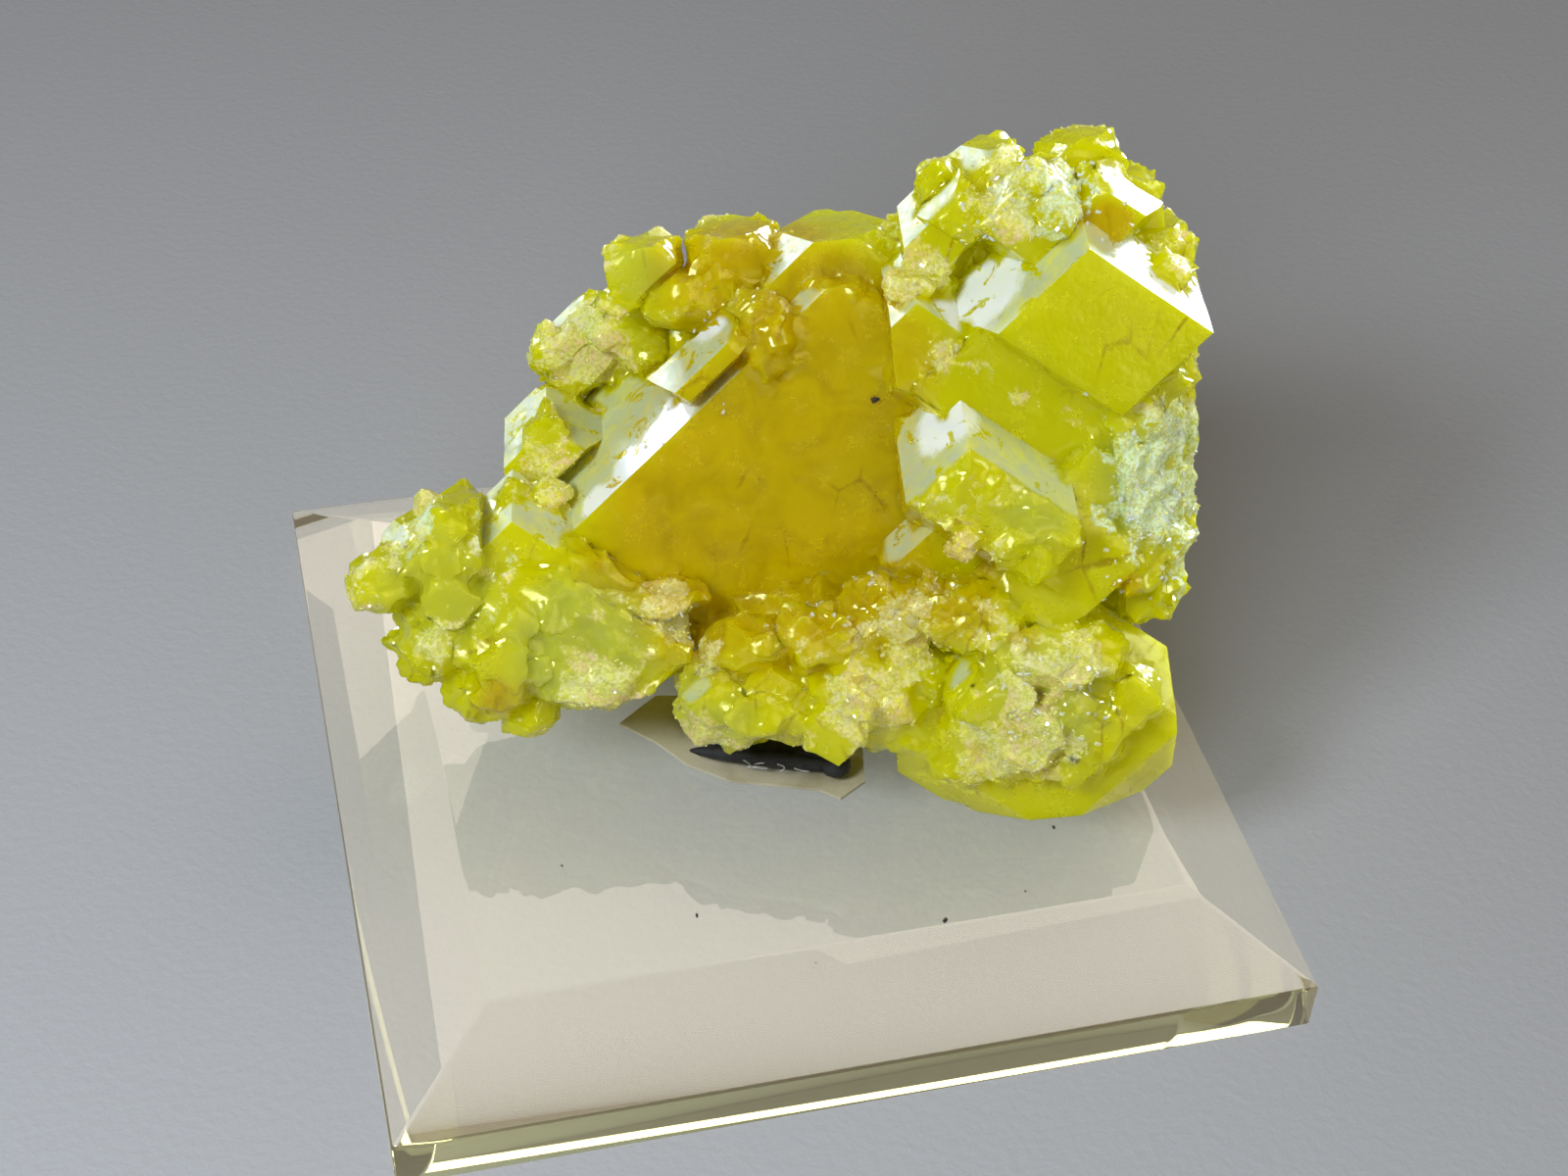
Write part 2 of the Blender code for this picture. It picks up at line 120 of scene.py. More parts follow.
CRUST_SPOTS = (
    ((-9.5, 7.9, -4.0), 3.0, 1.0),
    ((-12.0, 3.0, -1.0), 2.6, 0.9),
    ((-19.0, 2.4, 2.0), 2.6, 0.8),
    ((-14.5, 1.6, 3.0), 2.4, 0.7),
    ((-6.0, -4.0, 3.0), 2.2, 2.4),
    ((-9.4, 9.2, -6.4), 2.8, 1.4),
    ((-4.2, -5.6, 6.0), 1.4, 1.0),
    ((0.5, -4.2, 6.4), 3.6, 0.7),
    ((6.0, -3.4, 6.8), 3.4, 0.8),
    ((4.6, -8.6, 8.0), 2.8, 1.2),
    ((-4.0, -10.4, 5.0), 2.6, 0.8),
    ((12.6, -11.0, 8.0), 3.8, 0.9),
    ((15.5, -8.6, 8.0), 3.0, 0.8),
    ((20.8, 1.5, 4.6), 4.6, 1.0),
    ((15.5, 17.4, 4.0), 3.2, 0.8),
    ((9.0, 13.4, 3.0), 2.4, 0.7),
    ((-9.5, -5.8, 5.0), 3.4, 0.6),
    ((2.0, 4.0, -11.0), 4.0, 1.2),
    ((10.0, 8.0, -7.0), 4.0, 1.2),
    ((-8.0, 3.0, -9.0), 4.0, 1.1),
    ((13.0, -3.0, -7.0), 4.0, 1.1),
    ((-1.0, 12.0, -9.0), 4.0, 1.0),
    ((17.0, 13.0, -4.0), 4.0, 1.0),
    ((-15.0, -2.0, -4.0), 3.0, 1.0),
    ((9.6, 9.6, 4.6), 1.2, 1.2),
    ((11.6, 8.2, 4.6), 1.4, 1.5),
    ((13.8, 7.0, 4.6), 1.4, 1.5),
    ((16.0, 5.6, 4.6), 1.3, 1.4),
)
BARE_SPOTS = (
    ((0.0, 2.5, 1.0), 9.0, 1.0),
    ((5.6, 8.1, 1.0), 4.5, 1.0),
    ((18.2, 11.1, 6.8), 4.2, 1.2),
    ((0.0, 7.4, 2.0), 2.2, 1.0),
    ((19.5, -8.5, 6.0), 3.4, 0.9),
    ((16.6, -15.6, 5.0), 3.6, 0.9),
    ((-15.4, -7.4, 5.0), 2.0, 0.9),
    ((-11.5, -1.2, 3.0), 2.6, 0.7),
    ((-0.6, 14.9, -2.6), 2.4, 0.6),
    ((-1.2, -6.4, 7.0), 2.8, 1.1),
)
ETCHED_SPOTS = (
    ((-4.3, 9.7, -3.8), 2.2, 1.0),
    ((-5.7, 10.6, -4.5), 2.0, 0.9),
    ((-7.0, 6.5, -4.5), 1.6, 0.7),
    ((14.6, 14.6, 4.0), 1.3, 1.0),
    ((12.0, 15.0, 2.0), 1.6, 0.8),
    ((19.8, 17.6, 4.0), 3.0, 1.0),
    ((10.4, 4.2, 7.4), 1.2, 0.6),
)
# Spots where the frosted faces are polished smoother and painted near white as a highlight, along their lit edges.
POLISHED_AND_HIGHLIGHT_SPOTS = (
    ((-9.5, 2.2, 0.6), 1.5, 0.9),
    ((-7.4, 3.9, 0.4), 1.7, 1.0),
    ((-5.6, 5.4, 0.2), 1.8, 1.0),
    ((-4.4, 6.9, -0.6), 1.8, 1.0),
    ((-3.8, 9.6, -3.4), 1.5, 0.9),
    ((-2.2, 11.0, -0.9), 1.6, 0.9),
    ((12.2, 12.4, 3.2), 3.0, 1.0),
    ((9.3, 6.6, 5.4), 2.4, 1.0),
    ((21.8, 12.8, 4.8), 3.4, 1.0),
)
# Spots of painted cool light: the crust there is tinted bluish white where the cool light falls, on the right side
# and the left arm.
PAINTED_COOL_LIGHT_SPOTS = (
    ((20.8, 1.0, 4.6), 5.5, 1.0),
    ((21.0, -4.0, 5.0), 4.0, 0.8),
    ((18.0, 17.0, 4.6), 4.0, 0.7),
    ((-17.0, 4.0, 3.0), 3.0, 0.7),
    ((-14.5, 1.6, 3.0), 2.4, 0.6),
)

OVERGROWN_SPOTS = (
    ((12.4, 1.0, 8.6), 3.6, 1.0),
    ((-9.5, -4.0, 5.0), 3.6, 1.0),
    ((-13.0, -2.0, 5.0), 3.0, 1.0),
)
SPARKLE_SPOTS = (
    ((15.8, 18.4, 4.8), 3.0, 1.0),
    ((12.6, 17.0, 3.0), 2.4, 0.8),
    ((18.3, 16.3, 4.5), 2.2, 0.6),
    ((-5.9, 5.2, 0.4), 0.9, 1.0),
    ((-2.1, 6.6, 1.0), 0.8, 0.9),
    ((-2.6, 10.6, -1.2), 1.4, 0.9),
    ((21.0, 0.0, 4.8), 4.6, 0.7),
    ((-6.4, -3.6, 3.2), 1.6, 1.0),
    ((-5.0, -4.6, 4.0), 1.4, 1.0),
    ((3.0, -2.6, 5.0), 2.6, 0.7),
    ((14.0, -8.6, 8.6), 3.4, 0.6),
    ((16.0, 8.0, 6.8), 1.2, 0.5),
)

# Specks of dark dust: the place of each and its width, in millimetres.
DUST = (
    ((-7.5, -16.0, 6.40), 0.22),
    ((5.6, -19.1, 6.40), 0.28),
    ((13.5, -13.8, 6.40), 0.20),
    ((-14.0, -11.0, 6.40), 0.13),
    ((-2.0, -20.5, 6.40), 0.12),
    ((10.5, -18.0, 6.40), 0.14),
    ((5.6, 0.6, 27.05), 0.45),
    ((5.8, 0.5, 27.10), 0.25),
)

# The line along which the putty's front edge is rolled, and lint on it: how far along and how high it lies,
# in millimetres.
ROLL_START = Vector((-3.2, -6.45, 7.3))
ROLL_ALONG = Vector((1.0, -0.386, 0.0))
LINT = (
    ((0.4, 0.62), (0.55, 0.50), (0.75, 0.34), (0.80, 0.12), (0.62, 0.04), (0.60, 0.16), (1.1, 0.20),
     (1.6, 0.24), (1.75, 0.14), (1.4, 0.06), (0.9, 0.14)),
    ((2.2, 0.60), (2.5, 0.56), (2.62, 0.36), (2.5, 0.18), (2.35, 0.06)),
    ((1.0, 0.36), (1.2, 0.52), (1.5, 0.56)),
    ((3.1, 0.46), (3.5, 0.30), (3.9, 0.34)),
)

CLUSTER = "sulfur_cluster"
MERGE = 1e-6
FLAT = math.radians(0.3)
FACE_REACH = math.cos(math.radians(6.0))
LEAST_FACE = 4.0 * MM**2
ROUGH_REACH = 1.6
WEIGHT_STEPS = 10
LEAST_GRAIN = 0.5
LARGEST_GRAIN = 1.5
CRUST_STRIPS = (-30.0, -8.0, 4.0, 14.0, 30.0)
SPARKLE_SEED = 70
HAZE = 0.03


def face_normal(h, k, l):
    """Direction of the crystal face (hkl) in crystal axes."""
    return Vector((k, h / AXIS_A, l / AXIS_C)).normalized()


def only(piece):
    """Make this the one selected object, and the active one."""
    bpy.ops.object.select_all(action="DESELECT")
    piece.select_set(True)
    bpy.context.view_layer.objects.active = piece


def edit(piece):
    """Open a piece for editing with nothing selected."""
    only(piece)
    bpy.ops.object.mode_set(mode="EDIT")
    bpy.ops.mesh.select_mode(type="VERT")
    bpy.ops.mesh.select_all(action="DESELECT")


def close_edit():
    """Go back to object mode."""
    bpy.ops.object.mode_set(mode="OBJECT")


def start_from_node(name, node):
    """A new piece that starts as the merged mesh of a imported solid."""
    mesh = frame["nodes"][node].data.copy()
    mesh.name = name
    mesh.materials.clear()
    piece = bpy.data.objects.new(name, mesh)
    bpy.context.scene.collection.objects.link(piece)
    edit(piece)
    bpy.ops.mesh.select_all(action="SELECT")
    bpy.ops.mesh.customdata_custom_splitnormals_clear()
    bpy.ops.mesh.remove_doubles(threshold=MERGE)
    bpy.ops.mesh.dissolve_limited(angle_limit=FLAT)
    close_edit()
    return piece


def hand_in(piece, material, slot="", *nodes):
    """Finish a piece: its material, the body it rides on, and the solids it stands for. The slot is not used."""
    piece.data.materials.clear()
    piece.data.materials.append(material)
    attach(piece, "root")
    if nodes:
        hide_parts(*nodes)


# --- Meshes as arrays ---------------------------------------------------------------------------------------


def vertex_places(mesh):
    """Vertex positions, one row each."""
    places = np.empty(len(mesh.vertices) * 3, np.float32)
    mesh.vertices.foreach_get("co", places)
    return places.reshape(-1, 3).astype(float)


def vertex_normals(mesh):
    """Vertex normals, one row each."""
    normals = np.empty(len(mesh.vertices) * 3, np.float32)
    mesh.vertex_normals.foreach_get("vector", normals)
    return normals.reshape(-1, 3).astype(float)


def edge_ends(mesh):
    """The two vertex numbers of each edge."""
    ends = np.empty(len(mesh.edges) * 2, np.int32)
    mesh.edges.foreach_get("vertices", ends)
    return ends.reshape(-1, 2)


def crystal_millimetres(places):
    """Positions in crystal axes, in millimetres."""
    return (places - np.array(CENTRE)) @ np.array(AXES) / MM


def neighbour_mean(values, ends, rounds):
    """Values averaged with those of the neighbouring vertices, round after round."""
    count = np.ones(len(values))
    np.add.at(count, ends.ravel(), 1.0)
    shape = (-1,) + (1,) * (values.ndim - 1)
    for _ in range(rounds):
        total = values.copy()
        np.add.at(total, ends[:, 0], values[ends[:, 1]])
        np.add.at(total, ends[:, 1], values[ends[:, 0]])
        values = total / count.reshape(shape)
    return values


def spot_share(places, spots):
    """How strongly each place, in crystal millimetres, lies within a set of spots."""
    share = np.zeros(len(places))
    for middle, reach, strength in spots:
        away = np.linalg.norm(places - np.array(middle), axis=1) / reach
        near = np.clip(1.4 - away, 0.0, 1.0)
        share = np.maximum(share, strength * near * near * (3.0 - 2.0 * near))
    return share


def put_attribute(mesh, name, values, domain="POINT"):
    """Store one number for each vertex or face."""
    layer = mesh.attributes.get(name) or mesh.attributes.new(name, "FLOAT", domain)
    layer.data.foreach_set("value", np.asarray(values, np.float32))


# --- The crystals -------------------------------------------------------------------------------------------


def mark_crystal_faces(mesh):
    """Give each face 1 if it is a flat crystal face and 0 if it is broken, rounded or overgrown."""
    kinds = []
    for h, k, l in FACE_KINDS:
        for signs in ((1, 1, 1), (-1, 1, 1), (1, -1, 1), (-1, -1, 1)):
            kinds.append(AXES @ face_normal(h * signs[0], k * signs[1], l * signs[2]))
    kinds = np.array(kinds)
    normals = np.array([face.normal for face in mesh.polygons])
    areas = np.array([face.area for face in mesh.polygons])
    middles = crystal_millimetres(np.array([face.center for face in mesh.polygons]))
    aligned = np.abs(normals @ kinds.T).max(axis=1) > FACE_REACH
    overgrown = spot_share(middles, OVERGROWN_SPOTS) > 0.5
    put_attribute(mesh, "plane", aligned & (areas > LEAST_FACE) & ~overgrown, "FACE")


def cut_long_edges(piece, longest, longest_on_planes, rounds=7):
    """Split the mesh until no edge is longer than the length for broken parts, or the one for flat faces."""
    for _ in range(rounds):
        edit(piece)
        bpy.ops.mesh.select_all(action="SELECT")
        bpy.ops.mesh.quads_convert_to_tris()
        bpy.ops.mesh.select_all(action="DESELECT")
        shape = bmesh.from_edit_mesh(piece.data)
        plane = shape.faces.layers.float.get("plane")
        for edge in shape.edges:
            on_plane = plane and all(face[plane] > 0.5 for face in edge.link_faces)
            edge.select = edge.calc_length() > (longest_on_planes if on_plane else longest)
        bmesh.update_edit_mesh(piece.data)
        bpy.ops.mesh.subdivide(number_cuts=1)
        close_edit()
    edit(piece)
    bpy.ops.mesh.select_all(action="SELECT")
    bpy.ops.mesh.quads_convert_to_tris()
    close_edit()


def plane_at_vertices(mesh):
    """1 at each vertex with only flat crystal faces round it, else 0."""
    plane = np.empty(len(mesh.polygons), np.float32)
    mesh.attributes["plane"].data.foreach_get("value", plane)
    sides = np.empty(len(mesh.polygons), np.int32)
    mesh.polygons.foreach_get("loop_total", sides)
    corners = np.empty(len(mesh.loops), np.int32)
    mesh.loops.foreach_get("vertex_index", corners)
    least = np.ones(len(mesh.vertices), np.float32)
    np.minimum.at(least, corners, np.repeat(plane, sides))
    return least.astype(float)


def distance_into_planes(places, plane):
    """How far each vertex lies inside a flat face, from the nearest broken part, in millimetres."""
    broken = np.flatnonzero(plane < 0.5)
    tree = kdtree.KDTree(len(broken))
    for number in broken:
        tree.insert(places[number], int(number))
    tree.balance()
    away = np.zeros(len(places))
    for number in np.flatnonzero(plane > 0.5):
        away[number] = tree.find(places[number])[2] / MM
    return away


def uneven(places, size, seed):
    """Fractal noise about 0 whose largest features are about this size, in millimetres."""
    shift = Vector((seed * 17.1, seed * 5.3, seed * 11.7))
    return np.array([noise.fractal(Vector(place) / size + shift, 0.9, 2.1, 4) for place in places])


def survey(mesh):
    """Store what the finishes read: flatness, ridges, crust and each colour's share, painted highlight and painted
    cool light among them.
    """
    places = vertex_places(mesh)
    ends = edge_ends(mesh)
    plane = plane_at_vertices(mesh)
    flatness = np.clip(distance_into_planes(places, plane) / ROUGH_REACH, 0.0, 1.0)
    out = (places - neighbour_mean(places, ends, 24)) / MM
    ridge = neighbour_mean((out * vertex_normals(mesh)).sum(axis=1), ends, 2)
    grown = crystal_millimetres(places)
    crust = 0.55 * spot_share(grown, CRUST_SPOTS) - 0.85 * spot_share(grown, BARE_SPOTS)
    crust += 0.5 * uneven(grown, 3.0, 1) + 0.35 * ridge - 0.6 * flatness + 0.15
    put_attribute(mesh, "flatness", flatness)
    put_attribute(mesh, "ridge", ridge)
    put_attribute(mesh, "crust", crust)
    put_attribute(mesh, "amber", spot_share(grown, AMBER_SPOTS))
    put_attribute(mesh, "pale", spot_share(grown, PALE_SPOTS))
    put_attribute(mesh, "etched", spot_share(grown, ETCHED_SPOTS))
    # The share of polish, which is also the share of painted highlight.
    put_attribute(mesh, "polish_and_highlight", spot_share(grown, POLISHED_AND_HIGHLIGHT_SPOTS))
    # The share of painted cool light.
    put_attribute(mesh, "cool", spot_share(grown, PAINTED_COOL_LIGHT_SPOTS))


def displace(piece, texture, strength, middle, group):
    """Push the surface in and out by a texture, within a vertex group, and apply it."""
    only(piece)
    push = piece.modifiers.new("push", "DISPLACE")
    push.texture = texture
    push.texture_coords = "LOCAL"
    push.strength = strength
    push.mid_level = middle
    push.vertex_group = group
    bpy.ops.object.modifier_apply(modifier="push")


def cloud_texture(name, size, depth):
    """A cloudy texture for a Displace modifier."""
    texture = bpy.data.textures.new(name, "CLOUDS")
    texture.noise_scale = size
    texture.noise_depth = depth
    return texture


def ridged_texture(name, size):
    """A texture of sharp crests for a Displace modifier."""
    texture = bpy.data.textures.new(name, "MUSGRAVE")
    texture.musgrave_type = "RIDGED_MULTIFRACTAL"
    texture.noise_scale = size
    texture.octaves = 4.0
    texture.lacunarity = 2.1
    texture.offset = 0.8
    return texture


def grainy_texture(name, size):
    """A cellular texture for a Displace modifier."""
    texture = bpy.data.textures.new(name, "VORONOI")
    texture.noise_scale = size
    texture.weight_1 = 1.0
    return texture


def loosen(piece):
    """Weigh how far each vertex may be roughened: wholly where broken, in patches along the flat faces' edges."""
    mesh = piece.data
    places = vertex_places(mesh)
    plane = plane_at_vertices(mesh)
    inside = distance_into_planes(places, plane) / ROUGH_REACH
    patches = uneven(crystal_millimetres(places), 2.6, 4)
    weights = np.where(plane < 0.5, 1.0, np.clip(0.35 + 1.4 * patches - inside, 0.0, 0.5))
    loose = piece.vertex_groups.new(name="loose")
    for step in range(1, WEIGHT_STEPS + 1):
        alike = np.flatnonzero(np.round(weights * WEIGHT_STEPS) == step)
        loose.add(alike.tolist(), step / WEIGHT_STEPS, "REPLACE")


def stay_inside(mesh, node):
    """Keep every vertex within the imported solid's box."""
    low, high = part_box(node)
    places = np.clip(vertex_places(mesh), np.array(low), np.array(high))
    mesh.vertices.foreach_set("co", places.astype(np.float32).ravel())
    mesh.update()


def soften(piece, rounds, group):
    """Run neighbouring crystals into each other within a vertex group."""
    only(piece)
    soft = piece.modifiers.new("soften", "SMOOTH")
    soft.factor = 0.5
    soft.iterations = rounds
    soft.vertex_group = group
    bpy.ops.object.modifier_apply(modifier="soften")


def crystal_mass(sizes):
    """The whole cluster, split finely, with its broken parts fused and roughened and its flat faces kept."""
    piece = start_from_node("sulfur_crystals", CLUSTER)
    mark_crystal_faces(piece.data)
    cut_long_edges(piece, sizes.finest_edge, sizes.plane_edge)
    loosen(piece)
    soften(piece, sizes.softening, "loose")
    displace(piece, cloud_texture("lumps", 2.4 * MM, 2), sizes.lump_depth, 0.5, "loose")
    displace(piece, ridged_texture("ridges", 2.0 * MM), sizes.ridge_depth, 0.35, "loose")
    displace(piece, grainy_texture("grains", 0.7 * MM), sizes.grain_depth, 0.5, "loose")
    stay_inside(piece.data, CLUSTER)
    survey(piece.data)
    only(piece)
    bpy.ops.object.shade_smooth_by_angle(angle=math.radians(30.0))
    return piece


# --- Nodes --------------------------------------------------------------------------------------------------


class Value:
    """A number that changes over a surface. Sums and products of it become Math nodes."""

    def __init__(self, finish, socket):
        self.finish = finish
        self.socket = socket

    def math(self, operation, other=0.0, first=False):
        """One Math node on this value and another, which comes first if asked."""
        pair = (other, self) if first else (self, other)
        made = self.finish.node("ShaderNodeMath", {"operation": operation}, {0: pair[0], 1: pair[1]})
        return Value(self.finish, made.outputs[0])

    def __add__(self, other):
        return self.math("ADD", other)

    def __radd__(self, other):
        return self.math("ADD", other)

    def __sub__(self, other):
        return self.math("SUBTRACT", other)

    def __rsub__(self, other):
        return self.math("SUBTRACT", other, first=True)

    def __mul__(self, other):
        return self.math("MULTIPLY", other)

    def __rmul__(self, other):
        return self.math("MULTIPLY", other)

    def most(self, other):
        """The larger of the two."""
        return self.math("MAXIMUM", other)

    def ramp(self, low, high, start=0.0, end=1.0):
        """Turn low..high smoothly into start..end, and hold the ends."""
        settings = {"interpolation_type": "SMOOTHSTEP", "clamp": True}
        sockets = {"Value": self, "From Min": low, "From Max": high, "To Min": start, "To Max": end}
        made = self.finish.node("ShaderNodeMapRange", settings, sockets)
        return Value(self.finish, made.outputs[0])


class Finish:
    """The nodes of one material or one geometry tree."""

    def __init__(self, tree):
        self.tree = tree
        self.tree.nodes.clear()

    def node(self, kind, settings=None, sockets=None):
        """Add a node, give it its settings, then the values or links of its sockets."""
        made = self.tree.nodes.new(kind)
        for name, value in (settings or {}).items():
            setattr(made, name, value)
        for name, value in (sockets or {}).items():
            if isinstance(value, Value):
                value = value.socket
            if isinstance(value, bpy.types.NodeSocket):
                self.tree.links.new(value, made.inputs[name])
            else:
                made.inputs[name].default_value = value
        return made

    def attribute(self, name):
        """A number stored on the mesh."""
        made = self.node("ShaderNodeAttribute", {"attribute_name": name})
        return Value(self, made.outputs["Fac"])

    def places(self, stretch=(1.0, 1.0, 1.0), turn=(0.0, 0.0, 0.0)):
        """Object coordinates, turned and stretched."""
        here = self.node("ShaderNodeTexCoord").outputs["Object"]
        sockets = {"Vector": here, "Rotation": turn, "Scale": stretch}
        return self.node("ShaderNodeMapping", None, sockets).outputs["Vector"]

    def grown_places(self, stretch):
        """Object coordinates in crystal axes, with features drawn out along each axis this many times."""
        here = self.node("ShaderNodeTexCoord").outputs["Object"]
        sockets = {"Vector": here, "Rotation": AXES.to_euler(), "Scale": stretch}
        return self.node("ShaderNodeMapping", {"vector_type": "TEXTURE"}, sockets).outputs["Vector"]

    def noise(self, size, detail=3.0, roughness=0.5, vector=None, warp=0.0):
        """Soft noise from 0 to 1 whose features are about this size, in metres."""
        sockets = {"Scale": 1.0 / size, "Detail": detail, "Roughness": roughness, "Distortion": warp}
        sockets["Vector"] = vector or self.places()
        return Value(self, self.node("ShaderNodeTexNoise", None, sockets).outputs[0])

    def cells(self, size, feature="F1", output="Distance", vector=None):
        """Cells of about this size, in metres: the distance to each one's middle, or its random colour."""
        sockets = {"Scale": 1.0 / size, "Vector": vector or self.places()}
        made = self.node("ShaderNodeTexVoronoi", {"feature": feature}, sockets)
        return Value(self, made.outputs[output])

    def blend(self, first, second, share):
        """A colour between two colours."""
        settings = {"data_type": "RGBA"}
        made = self.node("ShaderNodeMix", settings, {0: share, 6: opaque(first), 7: opaque(second)})
        return made.outputs[2]

    def bump(self, height, depth, normal=None):
        """A Normal bent by a height from 0 to 1, whose full depth is given in metres."""
        sockets = {"Height": height, "Distance": depth, "Strength": 1.0}
        if normal:
            sockets["Normal"] = normal
        return self.node("ShaderNodeBump", None, sockets).outputs["Normal"]

    def surface(self, **sockets):
        """A Principled surface. Underscores in the names stand for spaces."""
        named = {name.replace("_", " "): value for name, value in sockets.items()}
        if "Base Color" in named:
            named["Base Color"] = opaque(named["Base Color"])
        return self.node("ShaderNodeBsdfPrincipled", None, named).outputs[0]

    def mixed(self, first, second, share):
        """One shader over another."""
        made = self.node("ShaderNodeMixShader", None, {0: share, 1: first, 2: second})
        return made.outputs[0]

    def output(self, shader, volume=None):
        """Connect the finished shader."""
        sockets = {"Surface": shader}
        if volume:
            sockets["Volume"] = volume
        self.node("ShaderNodeOutputMaterial", None, sockets)


def opaque(colour):
    """A colour with its alpha, or the link or value it came as."""
    if isinstance(colour, (Value, bpy.types.NodeSocket)):
        return colour
    return (*tuple(colour)[:3], 1.0)


def new_material(name):
    """An empty material and the finish that fills it."""
    material = bpy.data.materials.new(name)
    material.use_nodes = True
    return material, Finish(material.node_tree)


# --- Finishes -----------------------------------------------------------------------------------------------


def facing(finish, h, k, l):
    """How squarely the surface faces along a crystal face's normal, from the object's own normals."""
    normal = finish.node("ShaderNodeTexCoord").outputs["Normal"]
    sockets = {0: normal, 1: AXES @ face_normal(h, k, l)}
    made = finish.node("ShaderNodeVectorMath", {"operation": "DOT_PRODUCT"}, sockets)
    return Value(finish, made.outputs["Value"])


def body_colour(finish, colours):
    """Sulfur yellow that deepens to clouded amber in the large crystal and pales on the waxy lumps."""
    amber = (finish.attribute("amber") + (finish.noise(6 * MM, 2.0) - 0.5) * 0.5).ramp(0.15, 0.85)
    pale = finish.attribute("pale") + (finish.noise(3 * MM, 3.0) - 0.5) * 0.7
    clouds = finish.noise(3.2 * MM, 5.0, 0.6, warp=0.8).ramp(0.38, 0.72)
    clear = finish.blend(colours.lime, colours.amber, amber)
    clouded = finish.blend(clear, colours.deep, clouds * amber * 0.75)
    cracked = finish.blend(clouded, colours.crack, flaws(finish) * 0.55)
    return finish.blend(cracked, colours.pale, pale.ramp(0.35, 0.95, 0.0, 0.7))


def flaws(finish):
    """Fine cracks inside the clear sulfur, in patches."""
    bent = finish.places((1.0, 1.0, 0.45), (0.4, 0.3, 0.9))
    away = finish.cells(2.6 * MM, "DISTANCE_TO_EDGE", "Distance", bent) + finish.noise(0.6 * MM, 3.0) * 0.12
    patches = finish.noise(4.0 * MM, 2.0).ramp(0.52, 0.66)
    return (1.0 - away.ramp(0.06, 0.10)) * patches


def clear_sulfur(finish, colour):
    """Resinous sulfur that light soaks into."""
    swells = finish.noise(3.0 * MM, 3.0, 0.5)
    hills = finish.noise(0.5 * MM, 4.0, 0.6)
    return finish.surface(
        Base_Color=colour,
        Roughness=finish.noise(1.6 * MM, 5.0, 0.6).ramp(0.35, 0.7, 0.08, 0.34),
        IOR=1.75,
        Specular_Tint=(1.0, 0.97, 0.40, 1.0),
        Subsurface_Weight=1.0,
        Subsurface_Radius=(0.9, 0.9, 0.06),
        Subsurface_Scale=2.5 * MM,
        Transmission_Weight=0.35,
        Normal=finish.bump(hills, 0.025 * MM, finish.bump(swells, 0.16 * MM)),
    )


def frosted_sulfur(finish, colours, colour):
    """Crystal faces frosted white and finely striped; in places polished smoother and painted near white as a
    highlight.
    """
    stripes = finish.noise(0.35 * MM, 4.0, 0.6, finish.grown_places((1.0, 9.0, 1.0)))
    # Painted highlight: where polished, the colour goes to near white and the stripes fade, besides the lower
    # roughness.
    polish_and_highlight = (finish.attribute("polish_and_highlight") + (finish.noise(1.1 * MM, 4.0, 0.6) - 0.5) * 0.8).ramp(0.3, 0.75)
    mottle = finish.noise(1.4 * MM, 5.0, 0.65, warp=0.5).ramp(0.35, 0.7, 0.10, 0.7)
    tinted = mottle * stripes.ramp(0.3, 0.6, 0.5, 1.0) * (1.0 - polish_and_highlight * 0.9)
    return finish.surface(
        Base_Color=finish.blend(finish.blend(colours.satin, colours.frost_and_painted_highlight, polish_and_highlight), colour, tinted),
        Roughness=stripes.ramp(0.3, 0.7, 0.34, 0.46) - polish_and_highlight * 0.24,
        IOR=1.95,
        Subsurface_Weight=0.5,
        Subsurface_Radius=(1.0, 0.9, 0.5),
        Subsurface_Scale=0.8 * MM,
        Normal=finish.bump(stripes * (1.0 - polish_and_highlight * 0.9), 0.03 * MM),
    )


def granular_crust(finish, colours, colour):
    """A crust of fine grains, pinkish in patches, with yellow between them, fluted and tinted bluish white by
    painted cool light in places.
    """
    kind = finish.noise(2.6 * MM, 3.0).ramp(0.44, 0.64, 0.0, 0.9)
    # Painted cool light: a bluish white tint, with less yellow between the grains, where the cool light falls.
    cool = finish.attribute("cool").ramp(0.1, 0.7)
    between = finish.noise(0.45 * MM, 5.0, 0.7).ramp(0.40, 0.62, 0.10, 0.75) * (1.0 - cool * 0.6)
    crust = finish.blend(finish.blend(colours.crust, colours.rusty, kind), colours.painted_cool_light_crust, cool)
    flutes = finish.noise(0.55 * MM, 3.0, 0.6, finish.grown_places((1.0, 9.0, 1.0)))
    grains = finish.noise(0.13 * MM, 3.0, 0.7)
    return finish.surface(
        Base_Color=finish.blend(crust, colour, between),
        Roughness=0.38,
        IOR=1.8,
        Subsurface_Weight=0.7,
        Subsurface_Radius=(1.0, 0.85, 0.25),
        Subsurface_Scale=0.9 * MM,
        Normal=finish.bump(grains, 0.08 * MM, finish.bump(flutes * cool, 0.5 * MM)),
    )


